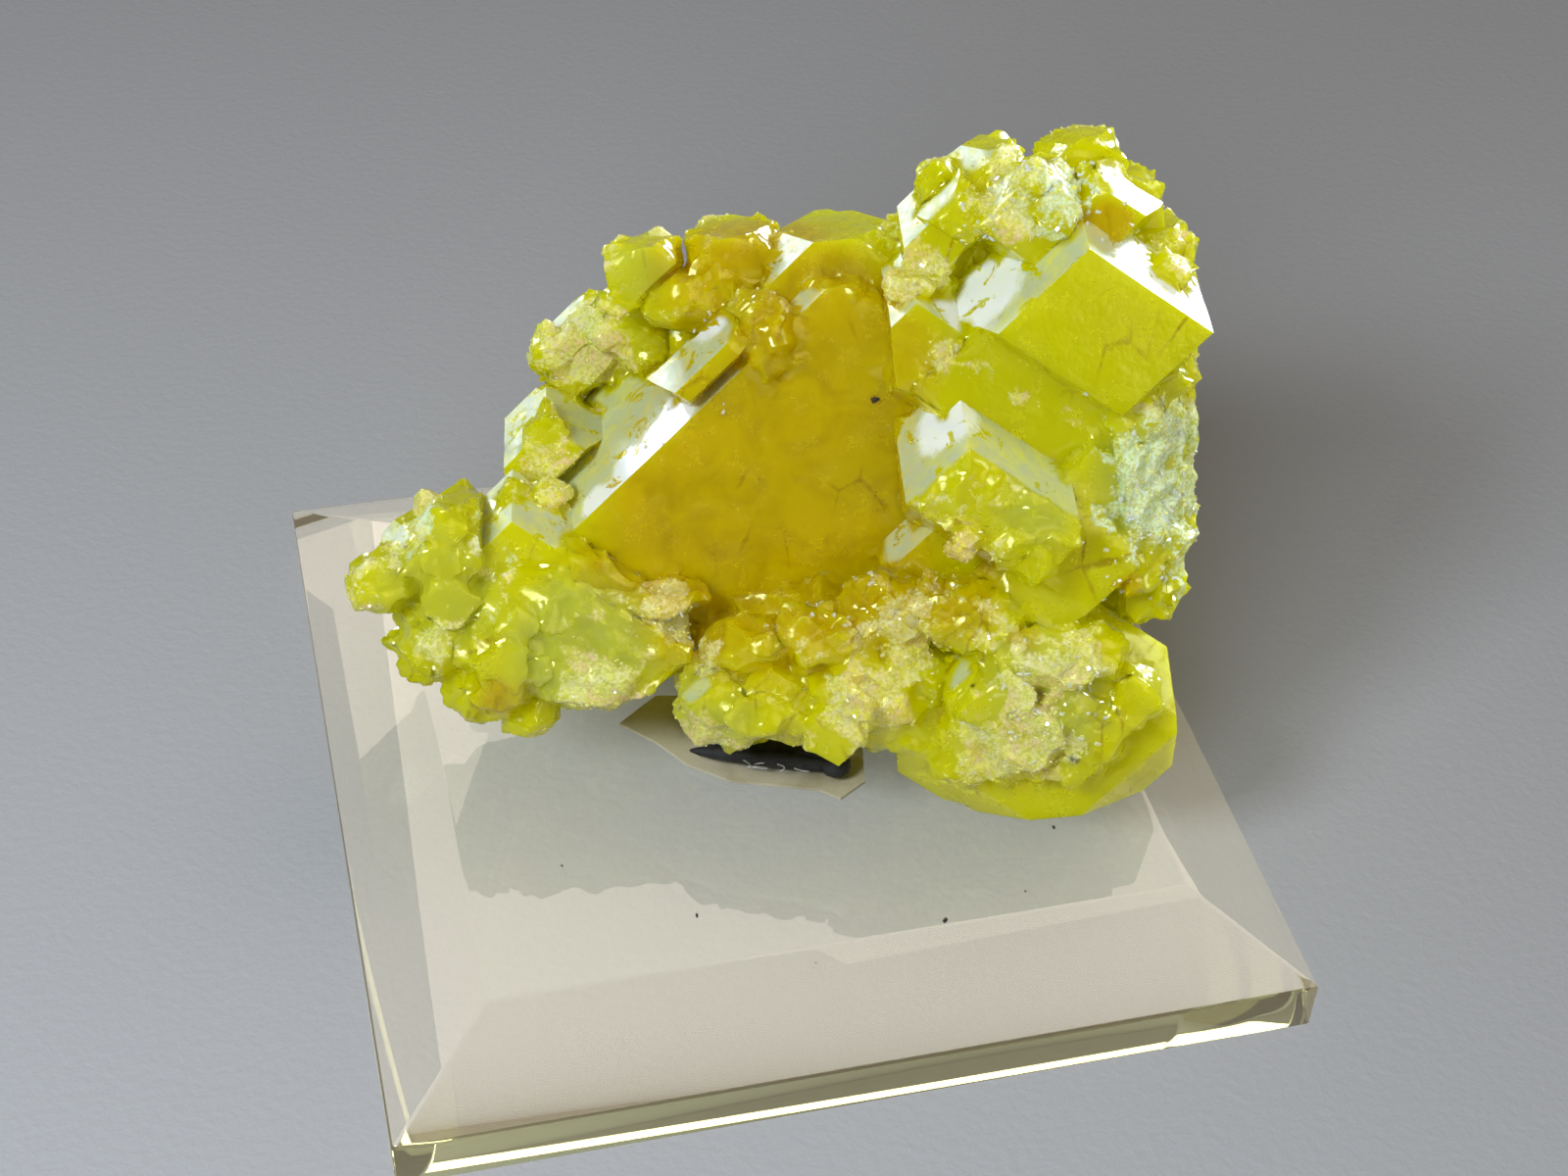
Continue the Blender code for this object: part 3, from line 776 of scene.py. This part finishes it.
def crystal_finish(colours):
    """Clear resinous sulfur with frosted faces and granular crust."""
    material, finish = new_material("sulfur_crystal")
    colour = body_colour(finish, colours)

    steep = facing(finish, 1, 1, 1).most(facing(finish, 1, -1, 1)).ramp(0.94, 0.98)
    worn = finish.noise(1.5 * MM, 6.0, 0.65, warp=0.6) + finish.attribute("etched") * 0.16
    frosting = steep * finish.attribute("flatness").ramp(0.1, 0.4) * (1.0 - worn.ramp(0.57, 0.62))

    dusting = (finish.noise(0.8 * MM, 6.0, 0.7) - 0.5) * 1.7
    specks = finish.noise(0.22 * MM, 2.0).ramp(0.36, 0.6, 0.4, 1.0)
    crusted = (finish.attribute("crust") + dusting).ramp(0.34, 0.56) * specks * (1.0 - frosting)

    bare = finish.mixed(clear_sulfur(finish, colour), frosted_sulfur(finish, colours, colour), frosting)
    finish.output(finish.mixed(bare, granular_crust(finish, colours, colour), crusted))
    return material


def grain_finish(colours):
    """Single crust grains: pale and glassy."""
    material, finish = new_material("sulfur_grain")
    share = finish.noise(0.9 * MM, 2.0).ramp(0.35, 0.65, 0.15, 0.8)
    finish.output(
        finish.surface(
            Base_Color=finish.blend(colours.crust, body_colour(finish, colours), share),
            Roughness=0.15,
            IOR=1.8,
        )
    )
    return material


def sparkle_finish(colours):
    """Small glassy crystals that flash."""
    material, finish = new_material("sulfur_sparkle")
    # Painted highlight in part: the sparkles are coloured mostly near white besides flashing.
    share = finish.noise(0.9 * MM, 2.0).ramp(0.35, 0.65, 0.0, 0.5)
    finish.output(
        finish.surface(
            Base_Color=finish.blend(colours.frost_and_painted_highlight, body_colour(finish, colours), share),
            Roughness=0.06,
            IOR=1.95,
            Transmission_Weight=0.3,
        )
    )
    return material


def dust_finish():
    """Brownish dust."""
    material, finish = new_material("dust")
    tone = finish.noise(0.2 * MM, 2.0).ramp(0.4, 0.6)
    brown = finish.blend((0.03, 0.02, 0.015), (0.10, 0.07, 0.04), tone)
    finish.output(finish.surface(Base_Color=brown, Roughness=0.8))
    return material


def lint_finish():
    """Pale textile lint."""
    material, finish = new_material("lint")
    tone = finish.noise(0.3 * MM, 2.0).ramp(0.35, 0.65)
    pale = finish.blend((0.50, 0.47, 0.45), (0.78, 0.75, 0.72), tone)
    finish.output(finish.surface(Base_Color=pale, Roughness=0.7))
    return material


def acrylic_finish(colours):
    """Clear cast acrylic under a thin haze of dust."""
    material, finish = new_material("clear_acrylic")
    scuffs = finish.noise(0.4 * MM, 6.0, 0.7).ramp(0.62, 0.8, 0.0, 0.10)
    surface = finish.surface(
        Base_Color=colours.acrylic,
        Roughness=scuffs,
        IOR=1.49,
        Transmission_Weight=1.0,
    )
    absorb = finish.node("ShaderNodeVolumeAbsorption", None, {"Color": (0.93, 0.96, 0.72, 1.0), "Density": 45.0})
    dusty = finish.surface(Base_Color=colours.haze, Roughness=0.9)
    finish.output(finish.mixed(surface, dusty, HAZE), absorb.outputs[0])
    return material


def putty_finish():
    """Black kneaded putty."""
    material, finish = new_material("black_putty")
    creases = finish.noise(0.7 * MM, 5.0, 0.6, warp=0.8)
    finish.output(
        finish.surface(
            Base_Color=finish.blend((0.008, 0.007, 0.007), (0.022, 0.020, 0.020), creases.ramp(0.35, 0.65)),
            Roughness=creases.ramp(0.3, 0.7, 0.6, 0.8),
            Normal=finish.bump(creases, 0.08 * MM),
        )
    )
    return material


def paper_finish():
    """Aged beige paper with fibres."""
    material, finish = new_material("aged_paper")
    fibres = finish.noise(0.25 * MM, 5.0, 0.7, finish.places((1.0, 4.0, 1.0), (0.0, 0.0, 0.7)))
    stain = finish.noise(2.5 * MM, 3.0)
    aged = finish.blend((0.62, 0.54, 0.36), (0.44, 0.36, 0.20), stain.ramp(0.4, 0.75))
    finish.output(
        finish.surface(
            Base_Color=finish.blend(aged, (0.72, 0.66, 0.50), fibres.ramp(0.5, 0.7, 0.0, 0.5)),
            Roughness=0.85,
            Normal=finish.bump(fibres, 0.04 * MM),
        )
    )
    return material


def floor_finish(colours):
    """A plain pale surface."""
    material, finish = new_material("pale_floor")
    fibre = finish.noise(0.6 * MM, 3.0, 0.6)
    finish.output(
        finish.surface(
            Base_Color=colours.floor,
            Roughness=0.75,
            Normal=finish.bump(fibre, 0.05 * MM),
        )
    )
    return material


# --- Crust grains -------------------------------------------------------------------------------------------


def grain(size):
    """One tiny crystal: a steep double pyramid with its tips cut off."""
    bpy.ops.object.select_all(action="DESELECT")
    bpy.ops.mesh.primitive_cube_add(size=size)
    piece = bpy.context.object
    piece.name = "grain"
    edit(piece)
    shape = bmesh.from_edit_mesh(piece.data)
    for face in shape.faces:
        face.select = abs(face.normal.z) > 0.5
    bmesh.update_edit_mesh(piece.data)
    bpy.ops.transform.resize(value=(0.45, 0.6, 1.0))
    bpy.ops.mesh.select_all(action="SELECT")
    bpy.ops.mesh.normals_make_consistent(inside=False)
    close_edit()
    return piece


def scatter(name, ground, crystal, thickly, seed):
    """Copies of a crystal grown at random on the ground, so many to a square millimetre at each vertex."""
    piece = bpy.data.objects.new(name, ground.data.copy())
    bpy.context.scene.collection.objects.link(piece)
    put_attribute(piece.data, "growth", thickly / MM**2)
    tree = bpy.data.node_groups.new(name, "GeometryNodeTree")
    tree.interface.new_socket("Geometry", in_out="INPUT", socket_type="NodeSocketGeometry")
    tree.interface.new_socket("Geometry", in_out="OUTPUT", socket_type="NodeSocketGeometry")
    nodes = Finish(tree)
    ground_in = nodes.node("NodeGroupInput").outputs[0]
    dense = nodes.node("GeometryNodeInputNamedAttribute", {"data_type": "FLOAT"}, {"Name": "growth"})
    points = nodes.node(
        "GeometryNodeDistributePointsOnFaces",
        {"distribute_method": "RANDOM"},
        {"Mesh": ground_in, "Density": dense.outputs[0], "Seed": seed},
    )
    any_vector = {"data_type": "FLOAT_VECTOR"}
    turned = nodes.node("FunctionNodeRandomValue", any_vector, {1: (math.tau,) * 3, "Seed": seed + 1})
    spread = {0: (LEAST_GRAIN,) * 3, 1: (LARGEST_GRAIN,) * 3, "Seed": seed + 2}
    scale = nodes.node("FunctionNodeRandomValue", any_vector, spread)
    seeded = nodes.node("GeometryNodeObjectInfo", None, {"Object": crystal, "As Instance": True})
    grown = nodes.node(
        "GeometryNodeInstanceOnPoints",
        None,
        {
            "Points": points.outputs["Points"],
            "Instance": seeded.outputs["Geometry"],
            "Rotation": turned.outputs[0],
            "Scale": scale.outputs[0],
        },
    )
    real = nodes.node("GeometryNodeRealizeInstances", None, {"Geometry": grown.outputs[0]})
    nodes.node("NodeGroupOutput", None, {0: real.outputs[0]})
    only(piece)
    grow = piece.modifiers.new("grow", "NODES")
    grow.node_group = tree
    bpy.ops.object.modifier_apply(modifier="grow")
    bpy.data.node_groups.remove(tree)
    stay_inside(piece.data, CLUSTER)
    return piece


def crusting(mesh):
    """How thickly the crust is grained at each vertex, from 0 to 1."""
    crust = np.empty(len(mesh.vertices), np.float32)
    mesh.attributes["crust"].data.foreach_get("value", crust)
    return np.clip(crust * 1.6 - 0.35, 0.0, 1.0)


def dark_specks():
    """Specks of dust, where they lie."""
    first = grain(1.0)
    bpy.ops.object.select_all(action="DESELECT")
    for number, (place, width) in enumerate(DUST):
        speck = bpy.data.objects.new(f"speck_{number}", first.data.copy())
        bpy.context.scene.collection.objects.link(speck)
        speck.location = Vector(place) * MM
        speck.rotation_euler = (number * 1.3, number * 0.7, number * 2.1)
        speck.scale = (width * MM,) * 3
        speck.select_set(True)
        bpy.context.view_layer.objects.active = speck
    bpy.ops.object.join()
    bpy.ops.object.transform_apply(location=True, rotation=True, scale=True)
    bpy.data.objects.remove(first)
    piece = bpy.context.object
    piece.name = "dark_specks"
    return piece


# --- Base, putty, paper -------------------------------------------------------------------------------------


def display_base(sizes):
    """The clear slab: a straight wall, a wide bevel and a flat top, with every edge slightly rounded."""
    low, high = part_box("acrylic_base")
    width = high.x - low.x
    bpy.ops.object.select_all(action="DESELECT")
    middle = (low.x + width / 2, (low.y + high.y) / 2, low.z + sizes.wall_height / 2)
    bpy.ops.mesh.primitive_cube_add(size=1.0, location=middle, scale=(width, width, sizes.wall_height))
    piece = bpy.context.object
    piece.name = "display_base"
    piece.visible_shadow = False
    piece.visible_diffuse = False
    bpy.ops.object.transform_apply(location=True, rotation=True, scale=True)
    edit(piece)
    bpy.ops.mesh.select_mode(type="FACE")
    shape = bmesh.from_edit_mesh(piece.data)
    for face in shape.faces:
        face.select = face.normal.z > 0.5
    bmesh.update_edit_mesh(piece.data)
    bpy.ops.mesh.inset(thickness=sizes.bevel_width)
    bpy.ops.transform.translate(value=(0.0, 0.0, high.z - low.z - sizes.wall_height))
    close_edit()
    only(piece)
    rounded = piece.modifiers.new("rounded", "BEVEL")
    rounded.width = sizes.edge_round
    rounded.segments = 3
    rounded.limit_method = "ANGLE"
    rounded.angle_limit = math.radians(20.0)
    bpy.ops.object.modifier_apply(modifier="rounded")
    bpy.ops.object.shade_smooth_by_angle(angle=math.radians(20.0))
    return piece


def kneaded_putty():
    """The pressed putty, softened and creased."""
    piece = start_from_node("kneaded_putty", "mineral_tack")
    cut_long_edges(piece, 0.25 * MM, 0.25 * MM)
    everywhere = piece.vertex_groups.new(name="all")
    everywhere.add(list(range(len(piece.data.vertices))), 1.0, "REPLACE")
    displace(piece, cloud_texture("creases", 0.9 * MM, 2), 0.10 * MM, 0.5, "all")
    only(piece)
    bpy.ops.object.shade_smooth_by_angle(angle=math.radians(60.0))
    return piece


def lint_fibre(points, thickness):
    """One thin fibre that lies along the putty's rolled edge."""
    bpy.ops.object.select_all(action="DESELECT")
    bpy.ops.curve.primitive_nurbs_path_add()
    piece = bpy.context.object
    line = piece.data.splines[0]
    line.points.add(max(0, len(points) - len(line.points)))
    for number, point in enumerate(line.points):
        along, height = points[min(number, len(points) - 1)]
        place = ROLL_START + ROLL_ALONG * along + Vector((0.0, 0.0, height))
        point.co = (*(place * MM), 1.0)
    line.use_endpoint_u = True
    line.order_u = 3
    line.resolution_u = 6
    piece.data.bevel_depth = thickness / 2
    piece.data.bevel_resolution = 2
    piece.data.use_fill_caps = True
    only(piece)
    bpy.ops.object.convert(target="MESH")
    return piece


def lint(thickness):
    """The loose fibres, as one piece."""
    fibres = [lint_fibre(points, thickness) for points in LINT]
    bpy.ops.object.select_all(action="DESELECT")
    for fibre in fibres:
        fibre.select_set(True)
    bpy.context.view_layer.objects.active = fibres[0]
    bpy.ops.object.join()
    piece = bpy.context.object
    piece.name = "lint_fibres"
    edit(piece)
    bpy.ops.mesh.select_all(action="SELECT")
    bpy.ops.mesh.remove_doubles(threshold=MERGE)
    bpy.ops.mesh.normals_make_consistent(inside=False)
    close_edit()
    bpy.ops.object.shade_smooth()
    return piece


# --- Stage --------------------------------------------------------------------------------------------------

CAMERA_PLACE = Vector((-28.29, -105.91, 114.91)) * MM
CAMERA_AIM = Vector((-0.68, -5.78, 20.0)) * MM
CAMERA_ROLL = math.radians(2.75)
CAMERA_LENS = 59.98


def aim(thing, target, roll=0.0):
    """Turn a lamp or camera to look at a point."""
    along = target - thing.location
    turned = along.to_track_quat("-Z", "Y") @ Quaternion((0.0, 0.0, 1.0), roll)
    thing.rotation_euler = turned.to_euler()


def add_camera():
    """The camera, looking down on the specimen's front."""
    bpy.ops.object.camera_add(location=CAMERA_PLACE)
    camera = bpy.context.object
    camera.data.lens = CAMERA_LENS
    camera.data.sensor_width = 36.0
    camera.data.clip_start = 0.001
    aim(camera, CAMERA_AIM, CAMERA_ROLL)
    bpy.context.scene.camera = camera


def add_soft_light(name, towards, distance, size, power, colour, lit=None):
    """A square soft light in a direction from the cluster, which may light one collection alone."""
    place = CENTRE + Vector(towards).normalized() * distance
    bpy.ops.object.light_add(type="AREA", location=place)
    lamp = bpy.context.object
    lamp.name = name
    lamp.data.name = name
    lamp.data.shape = "SQUARE"
    lamp.data.size = size
    lamp.data.energy = power
    lamp.data.color = colour
    lamp.light_linking.receiver_collection = lit
    aim(lamp, CENTRE)


def gathered(name, *starts):
    """A collection of the pieces whose names start in one of these ways."""
    group = bpy.data.collections.new(name)
    for piece in bpy.context.scene.objects:
        if piece.name.startswith(starts):
            group.objects.link(piece)
    return group


def build_stage(stage):
    """Floor, soft lights, surroundings and camera."""
    bpy.ops.object.select_all(action="DESELECT")
    bpy.ops.mesh.primitive_plane_add(size=4.0, location=(0.0, 0.0, -0.05 * MM))
    floor = bpy.context.object
    floor.name = "floor"
    bpy.ops.object.transform_apply(location=True, rotation=True, scale=True)
    floor.data.materials.append(floor_finish(stage))
    add_camera()
    sulfur = gathered("sulfur", "sulfur_crystals", "crust_grains", "sparkles")
    clear = gathered("clear", "display_base")
    ground = gathered("ground", "floor")
    add_soft_light("key", (-0.62, -0.37, 0.69), 0.26, 0.07, stage.key_power, stage.cool)
    add_soft_light("overhead", (0.45, 0.1, 1.0), 0.5, 0.3, stage.overhead_power, stage.warm)
    add_soft_light("left_card", (-0.44, 0.87, 0.19), 0.6, 0.14, stage.card_power * 0.33, stage.cool, sulfur)
    add_soft_light("right_card", (0.745, 0.64, 0.19), 0.6, 0.14, stage.card_power, stage.cool, sulfur)
    add_soft_light("right_fill", (0.85, -0.30, 0.42), 0.5, 0.25, stage.fill_power, stage.cool, sulfur)
    add_soft_light("front_fill", (0.30, -0.85, 0.45), 0.5, 0.35, stage.fill_power * 0.6, stage.warm, sulfur)
    add_soft_light("sheen", (0.10, 0.25, 0.96), 0.6, 1.7, stage.sheen_power, stage.warm, clear)
    add_soft_light("floor_glow", (-0.40, -0.75, 0.55), 0.28, 0.12, stage.glow_power, stage.cool, ground)
    studio_air(stage)
    bpy.context.scene.view_settings.view_transform = "Standard"


def studio_air(stage):
    """Surroundings that are bright above and dim towards the horizon."""
    world = bpy.data.worlds.new("studio")
    world.use_nodes = True
    bpy.context.scene.world = world
    air = Finish(world.node_tree)
    way = air.node("ShaderNodeTexCoord").outputs["Generated"]
    height = Value(air, air.node("ShaderNodeSeparateXYZ", None, {0: way}).outputs["Z"])
    colour = air.blend(stage.horizon, stage.air, height.ramp(0.0, 0.9))
    glow = air.node("ShaderNodeBackground", None, {"Color": colour, "Strength": stage.air_strength})
    air.node("ShaderNodeOutputWorld", None, {"Surface": glow.outputs[0]})


# --- Settings -----------------------------------------------------------------------------------------------


def length(name, description, default):
    """A length that the sidebar shows in scene units."""
    return FloatProperty(name=name, description=description, default=default, unit="LENGTH", precision=5)


def colour(name, description, default):
    """A linear colour."""
    return FloatVectorProperty(
        name=name, description=description, default=default, subtype="COLOR", min=0.0, max=1.0
    )


class CrystalSettings(PropertyGroup):
    """Sizes and colours of the sulfur."""

    finest_edge: length("Finest edge", "Longest mesh edge on the broken parts", 0.42 * MM)
    plane_edge: length("Plane edge", "Longest mesh edge on the flat faces", 1.0 * MM)
    softening: IntProperty(name="Softening", description="Rounds of smoothing on the broken parts", default=3)
    lump_depth: length("Lump depth", "How far the broken parts swell and sink", 0.5 * MM)
    ridge_depth: length("Ridge depth", "How sharply the broken parts crest", 0.6 * MM)
    grain_depth: length("Grain depth", "How deep the granular surface is", 0.16 * MM)
    grain_size: length("Grain size", "Width of one crust grain", 0.19 * MM)
    grains_per_square_mm: FloatProperty(name="Grains", description="Grains per square millimetre", default=5.0)
    sparkle_size: length("Sparkle size", "Width of one glassy crystal", 0.28 * MM)
    sparkles_per_square_mm: FloatProperty(
        name="Sparkles", description="Glassy crystals per square millimetre", default=1.3
    )
    lime: colour("Lime", "Thin sulfur with light in it", (0.82, 0.79, 0.0))
    amber: colour("Amber", "Deep clear sulfur", (0.80, 0.61, 0.0))
    deep: colour("Deep amber", "Where the least light gets in", (0.58, 0.40, 0.0))
    crack: colour("Cracks", "Fine cracks inside", (0.36, 0.20, 0.0))
    pale: colour("Pale", "Waxy sulfur", (0.62, 0.68, 0.10))
    satin: colour("Satin", "Frosted crystal faces", (0.52, 0.58, 0.38))
    # Painted highlight: the near-white colour laid on the polished frosted faces and on the sparkles.
    frost_and_painted_highlight: colour("Frost", "The whitest of the frosted faces", (0.94, 0.98, 0.94))
    crust: colour("Crust", "White granular crust", (0.78, 0.74, 0.36))
    rusty: colour("Rusty crust", "Pinkish granular crust", (0.80, 0.55, 0.28))
    # Painted cool light: the bluish white the crust takes where the cool light falls.
    painted_cool_light_crust: colour("Cool crust", "Bluish white crust", (0.78, 0.94, 0.66))


class HolderSettings(PropertyGroup):
    """Sizes and colour of the clear base."""

    wall_height: length("Wall height", "Height of the straight wall", 3.2 * MM)
    bevel_width: length("Bevel width", "Width of the bevel, seen from above", 6.0 * MM)
    lint_thickness: length("Lint thickness", "Width of one fibre", 0.05 * MM)
    edge_round: length("Edge round", "How far each edge is rounded", 0.15 * MM)
    acrylic: colour("Acrylic", "Clear cast acrylic", (1.0, 1.0, 1.0))
    haze: colour("Haze", "Dust on the acrylic", (0.95, 0.86, 0.66))


class StageSettings(PropertyGroup):
    """Floor and light."""

    floor: colour("Floor", "Floor colour", (0.33, 0.32, 0.32))
    cool: colour("Cool light", "Light from the windows", (0.80, 0.90, 1.0))
    warm: colour("Warm light", "Light from above", (1.0, 0.86, 0.70))
    air: colour("Surroundings", "Light from above", (0.60, 0.58, 0.56))
    horizon: colour("Horizon", "Light from the sides", (0.42, 0.41, 0.40))
    air_strength: FloatProperty(name="Surroundings", description="Strength all round", default=0.25)
    key_power: FloatProperty(name="Key", description="Power of the key light", default=0.54, unit="POWER")
    overhead_power: FloatProperty(name="Overhead", description="Power from above", default=0.45, unit="POWER")
    card_power: FloatProperty(name="Cards", description="Power of the back cards", default=3.4, unit="POWER")
    fill_power: FloatProperty(name="Fills", description="Power of the soft fills", default=0.9, unit="POWER")
    sheen_power: FloatProperty(name="Sheen", description="Power seen in the base", default=30.0, unit="POWER")
    glow_power: FloatProperty(name="Glow", description="Power on the floor", default=0.65, unit="POWER")


# --- Operators ----------------------------------------------------------------------------------------------


class SPECIMEN_OT_crystals(Operator):
    """Grow the crystal cluster"""

    bl_idname = "specimen.crystals"
    bl_label = "Crystals"

    def execute(self, context):
        settings = context.scene.specimen_crystals
        hand_in(crystal_mass(settings), crystal_finish(settings), "sulfur", CLUSTER)
        return {"FINISHED"}


class SPECIMEN_OT_crust(Operator):
    """Grow the crust of tiny grains on the cluster"""

    bl_idname = "specimen.crust"
    bl_label = "Crust grains"

    def execute(self, context):
        settings = context.scene.specimen_crystals
        ground = bpy.data.objects["sulfur_crystals"]
        across = crystal_millimetres(vertex_places(ground.data))[:, 0]
        thickly = crusting(ground.data) * settings.grains_per_square_mm
        material = grain_finish(settings)
        first = grain(settings.grain_size)
        for number, (low, high) in enumerate(zip(CRUST_STRIPS, CRUST_STRIPS[1:])):
            inside = (across >= low) & (across < high)
            piece = scatter(f"crust_grains_{number + 1}", ground, first, thickly * inside, number * 10)
            piece.visible_shadow = False
            hand_in(piece, material, "sulfur")
        bpy.data.objects.remove(first)
        return {"FINISHED"}


class SPECIMEN_OT_sparkles(Operator):
    """Grow the small glassy crystals that flash"""

    bl_idname = "specimen.sparkles"
    bl_label = "Sparkles"

    def execute(self, context):
        settings = context.scene.specimen_crystals
        ground = bpy.data.objects["sulfur_crystals"]
        places = crystal_millimetres(vertex_places(ground.data))
        thickly = spot_share(places, SPARKLE_SPOTS) * settings.sparkles_per_square_mm
        first = grain(settings.sparkle_size)
        piece = scatter("sparkles", ground, first, thickly, SPARKLE_SEED)
        bpy.data.objects.remove(first)
        hand_in(piece, sparkle_finish(settings), "sulfur")
        return {"FINISHED"}


class SPECIMEN_OT_base(Operator):
    """Make the clear display base"""

    bl_idname = "specimen.base"
    bl_label = "Display base"

    def execute(self, context):
        settings = context.scene.specimen_holder
        hand_in(display_base(settings), acrylic_finish(settings), "clear_acrylic", "acrylic_base")
        return {"FINISHED"}


class SPECIMEN_OT_putty(Operator):
    """Press the black putty under the cluster"""

    bl_idname = "specimen.putty"
    bl_label = "Putty"

    def execute(self, context):
        hand_in(kneaded_putty(), putty_finish(), "black_tack", "mineral_tack")
        return {"FINISHED"}


class SPECIMEN_OT_paper(Operator):
    """Give the paper scrap its finish"""

    bl_idname = "specimen.paper"
    bl_label = "Paper scrap"

    def execute(self, context):
        scrap = frame["nodes"]["paper_scrap"]
        scrap.data.materials.clear()
        scrap.data.materials.append(paper_finish())
        return {"FINISHED"}


class SPECIMEN_OT_lint(Operator):
    """Lay the lint on the putty"""

    bl_idname = "specimen.lint"
    bl_label = "Lint"

    def execute(self, context):
        hand_in(lint(context.scene.specimen_holder.lint_thickness), lint_finish())
        return {"FINISHED"}


class SPECIMEN_OT_dust(Operator):
    """Drop the specks of dust"""

    bl_idname = "specimen.dust"
    bl_label = "Dust"

    def execute(self, context):
        hand_in(dark_specks(), dust_finish())
        return {"FINISHED"}


class SPECIMEN_OT_stage(Operator):
    """Set out the floor, the lights and the camera"""

    bl_idname = "specimen.stage"
    bl_label = "Stage"

    def execute(self, context):
        build_stage(context.scene.specimen_stage)
        return {"FINISHED"}


class SPECIMEN_PT_sidebar(Panel):
    """Lists the specimen's pieces"""

    bl_idname = "SPECIMEN_PT_sidebar"
    bl_label = "Sulfur Specimen"
    bl_space_type = "VIEW_3D"
    bl_region_type = "UI"
    bl_category = "Specimen"

    def draw(self, context):
        for step in OPERATORS:
            self.layout.operator(step.bl_idname)


OPERATORS = (
    SPECIMEN_OT_crystals,
    SPECIMEN_OT_crust,
    SPECIMEN_OT_sparkles,
    SPECIMEN_OT_base,
    SPECIMEN_OT_putty,
    SPECIMEN_OT_paper,
    SPECIMEN_OT_lint,
    SPECIMEN_OT_dust,
    SPECIMEN_OT_stage,
)
SETTINGS = {
    "specimen_crystals": CrystalSettings,
    "specimen_holder": HolderSettings,
    "specimen_stage": StageSettings,
}


def register():
    """Add the settings, the operators and the panel."""
    for name, group in SETTINGS.items():
        bpy.utils.register_class(group)
        setattr(bpy.types.Scene, name, PointerProperty(type=group))
    for step in (*OPERATORS, SPECIMEN_PT_sidebar):
        bpy.utils.register_class(step)


def unregister():
    """Take them away again."""
    for step in (SPECIMEN_PT_sidebar, *reversed(OPERATORS)):
        bpy.utils.unregister_class(step)
    for name, group in SETTINGS.items():
        delattr(bpy.types.Scene, name)
        bpy.utils.unregister_class(group)


def main():
    """Build every piece in order."""
    register()
    for step in OPERATORS:
        group, name = step.bl_idname.split(".")
        getattr(getattr(bpy.ops, group), name)()


if __name__ == "__main__":
    main()
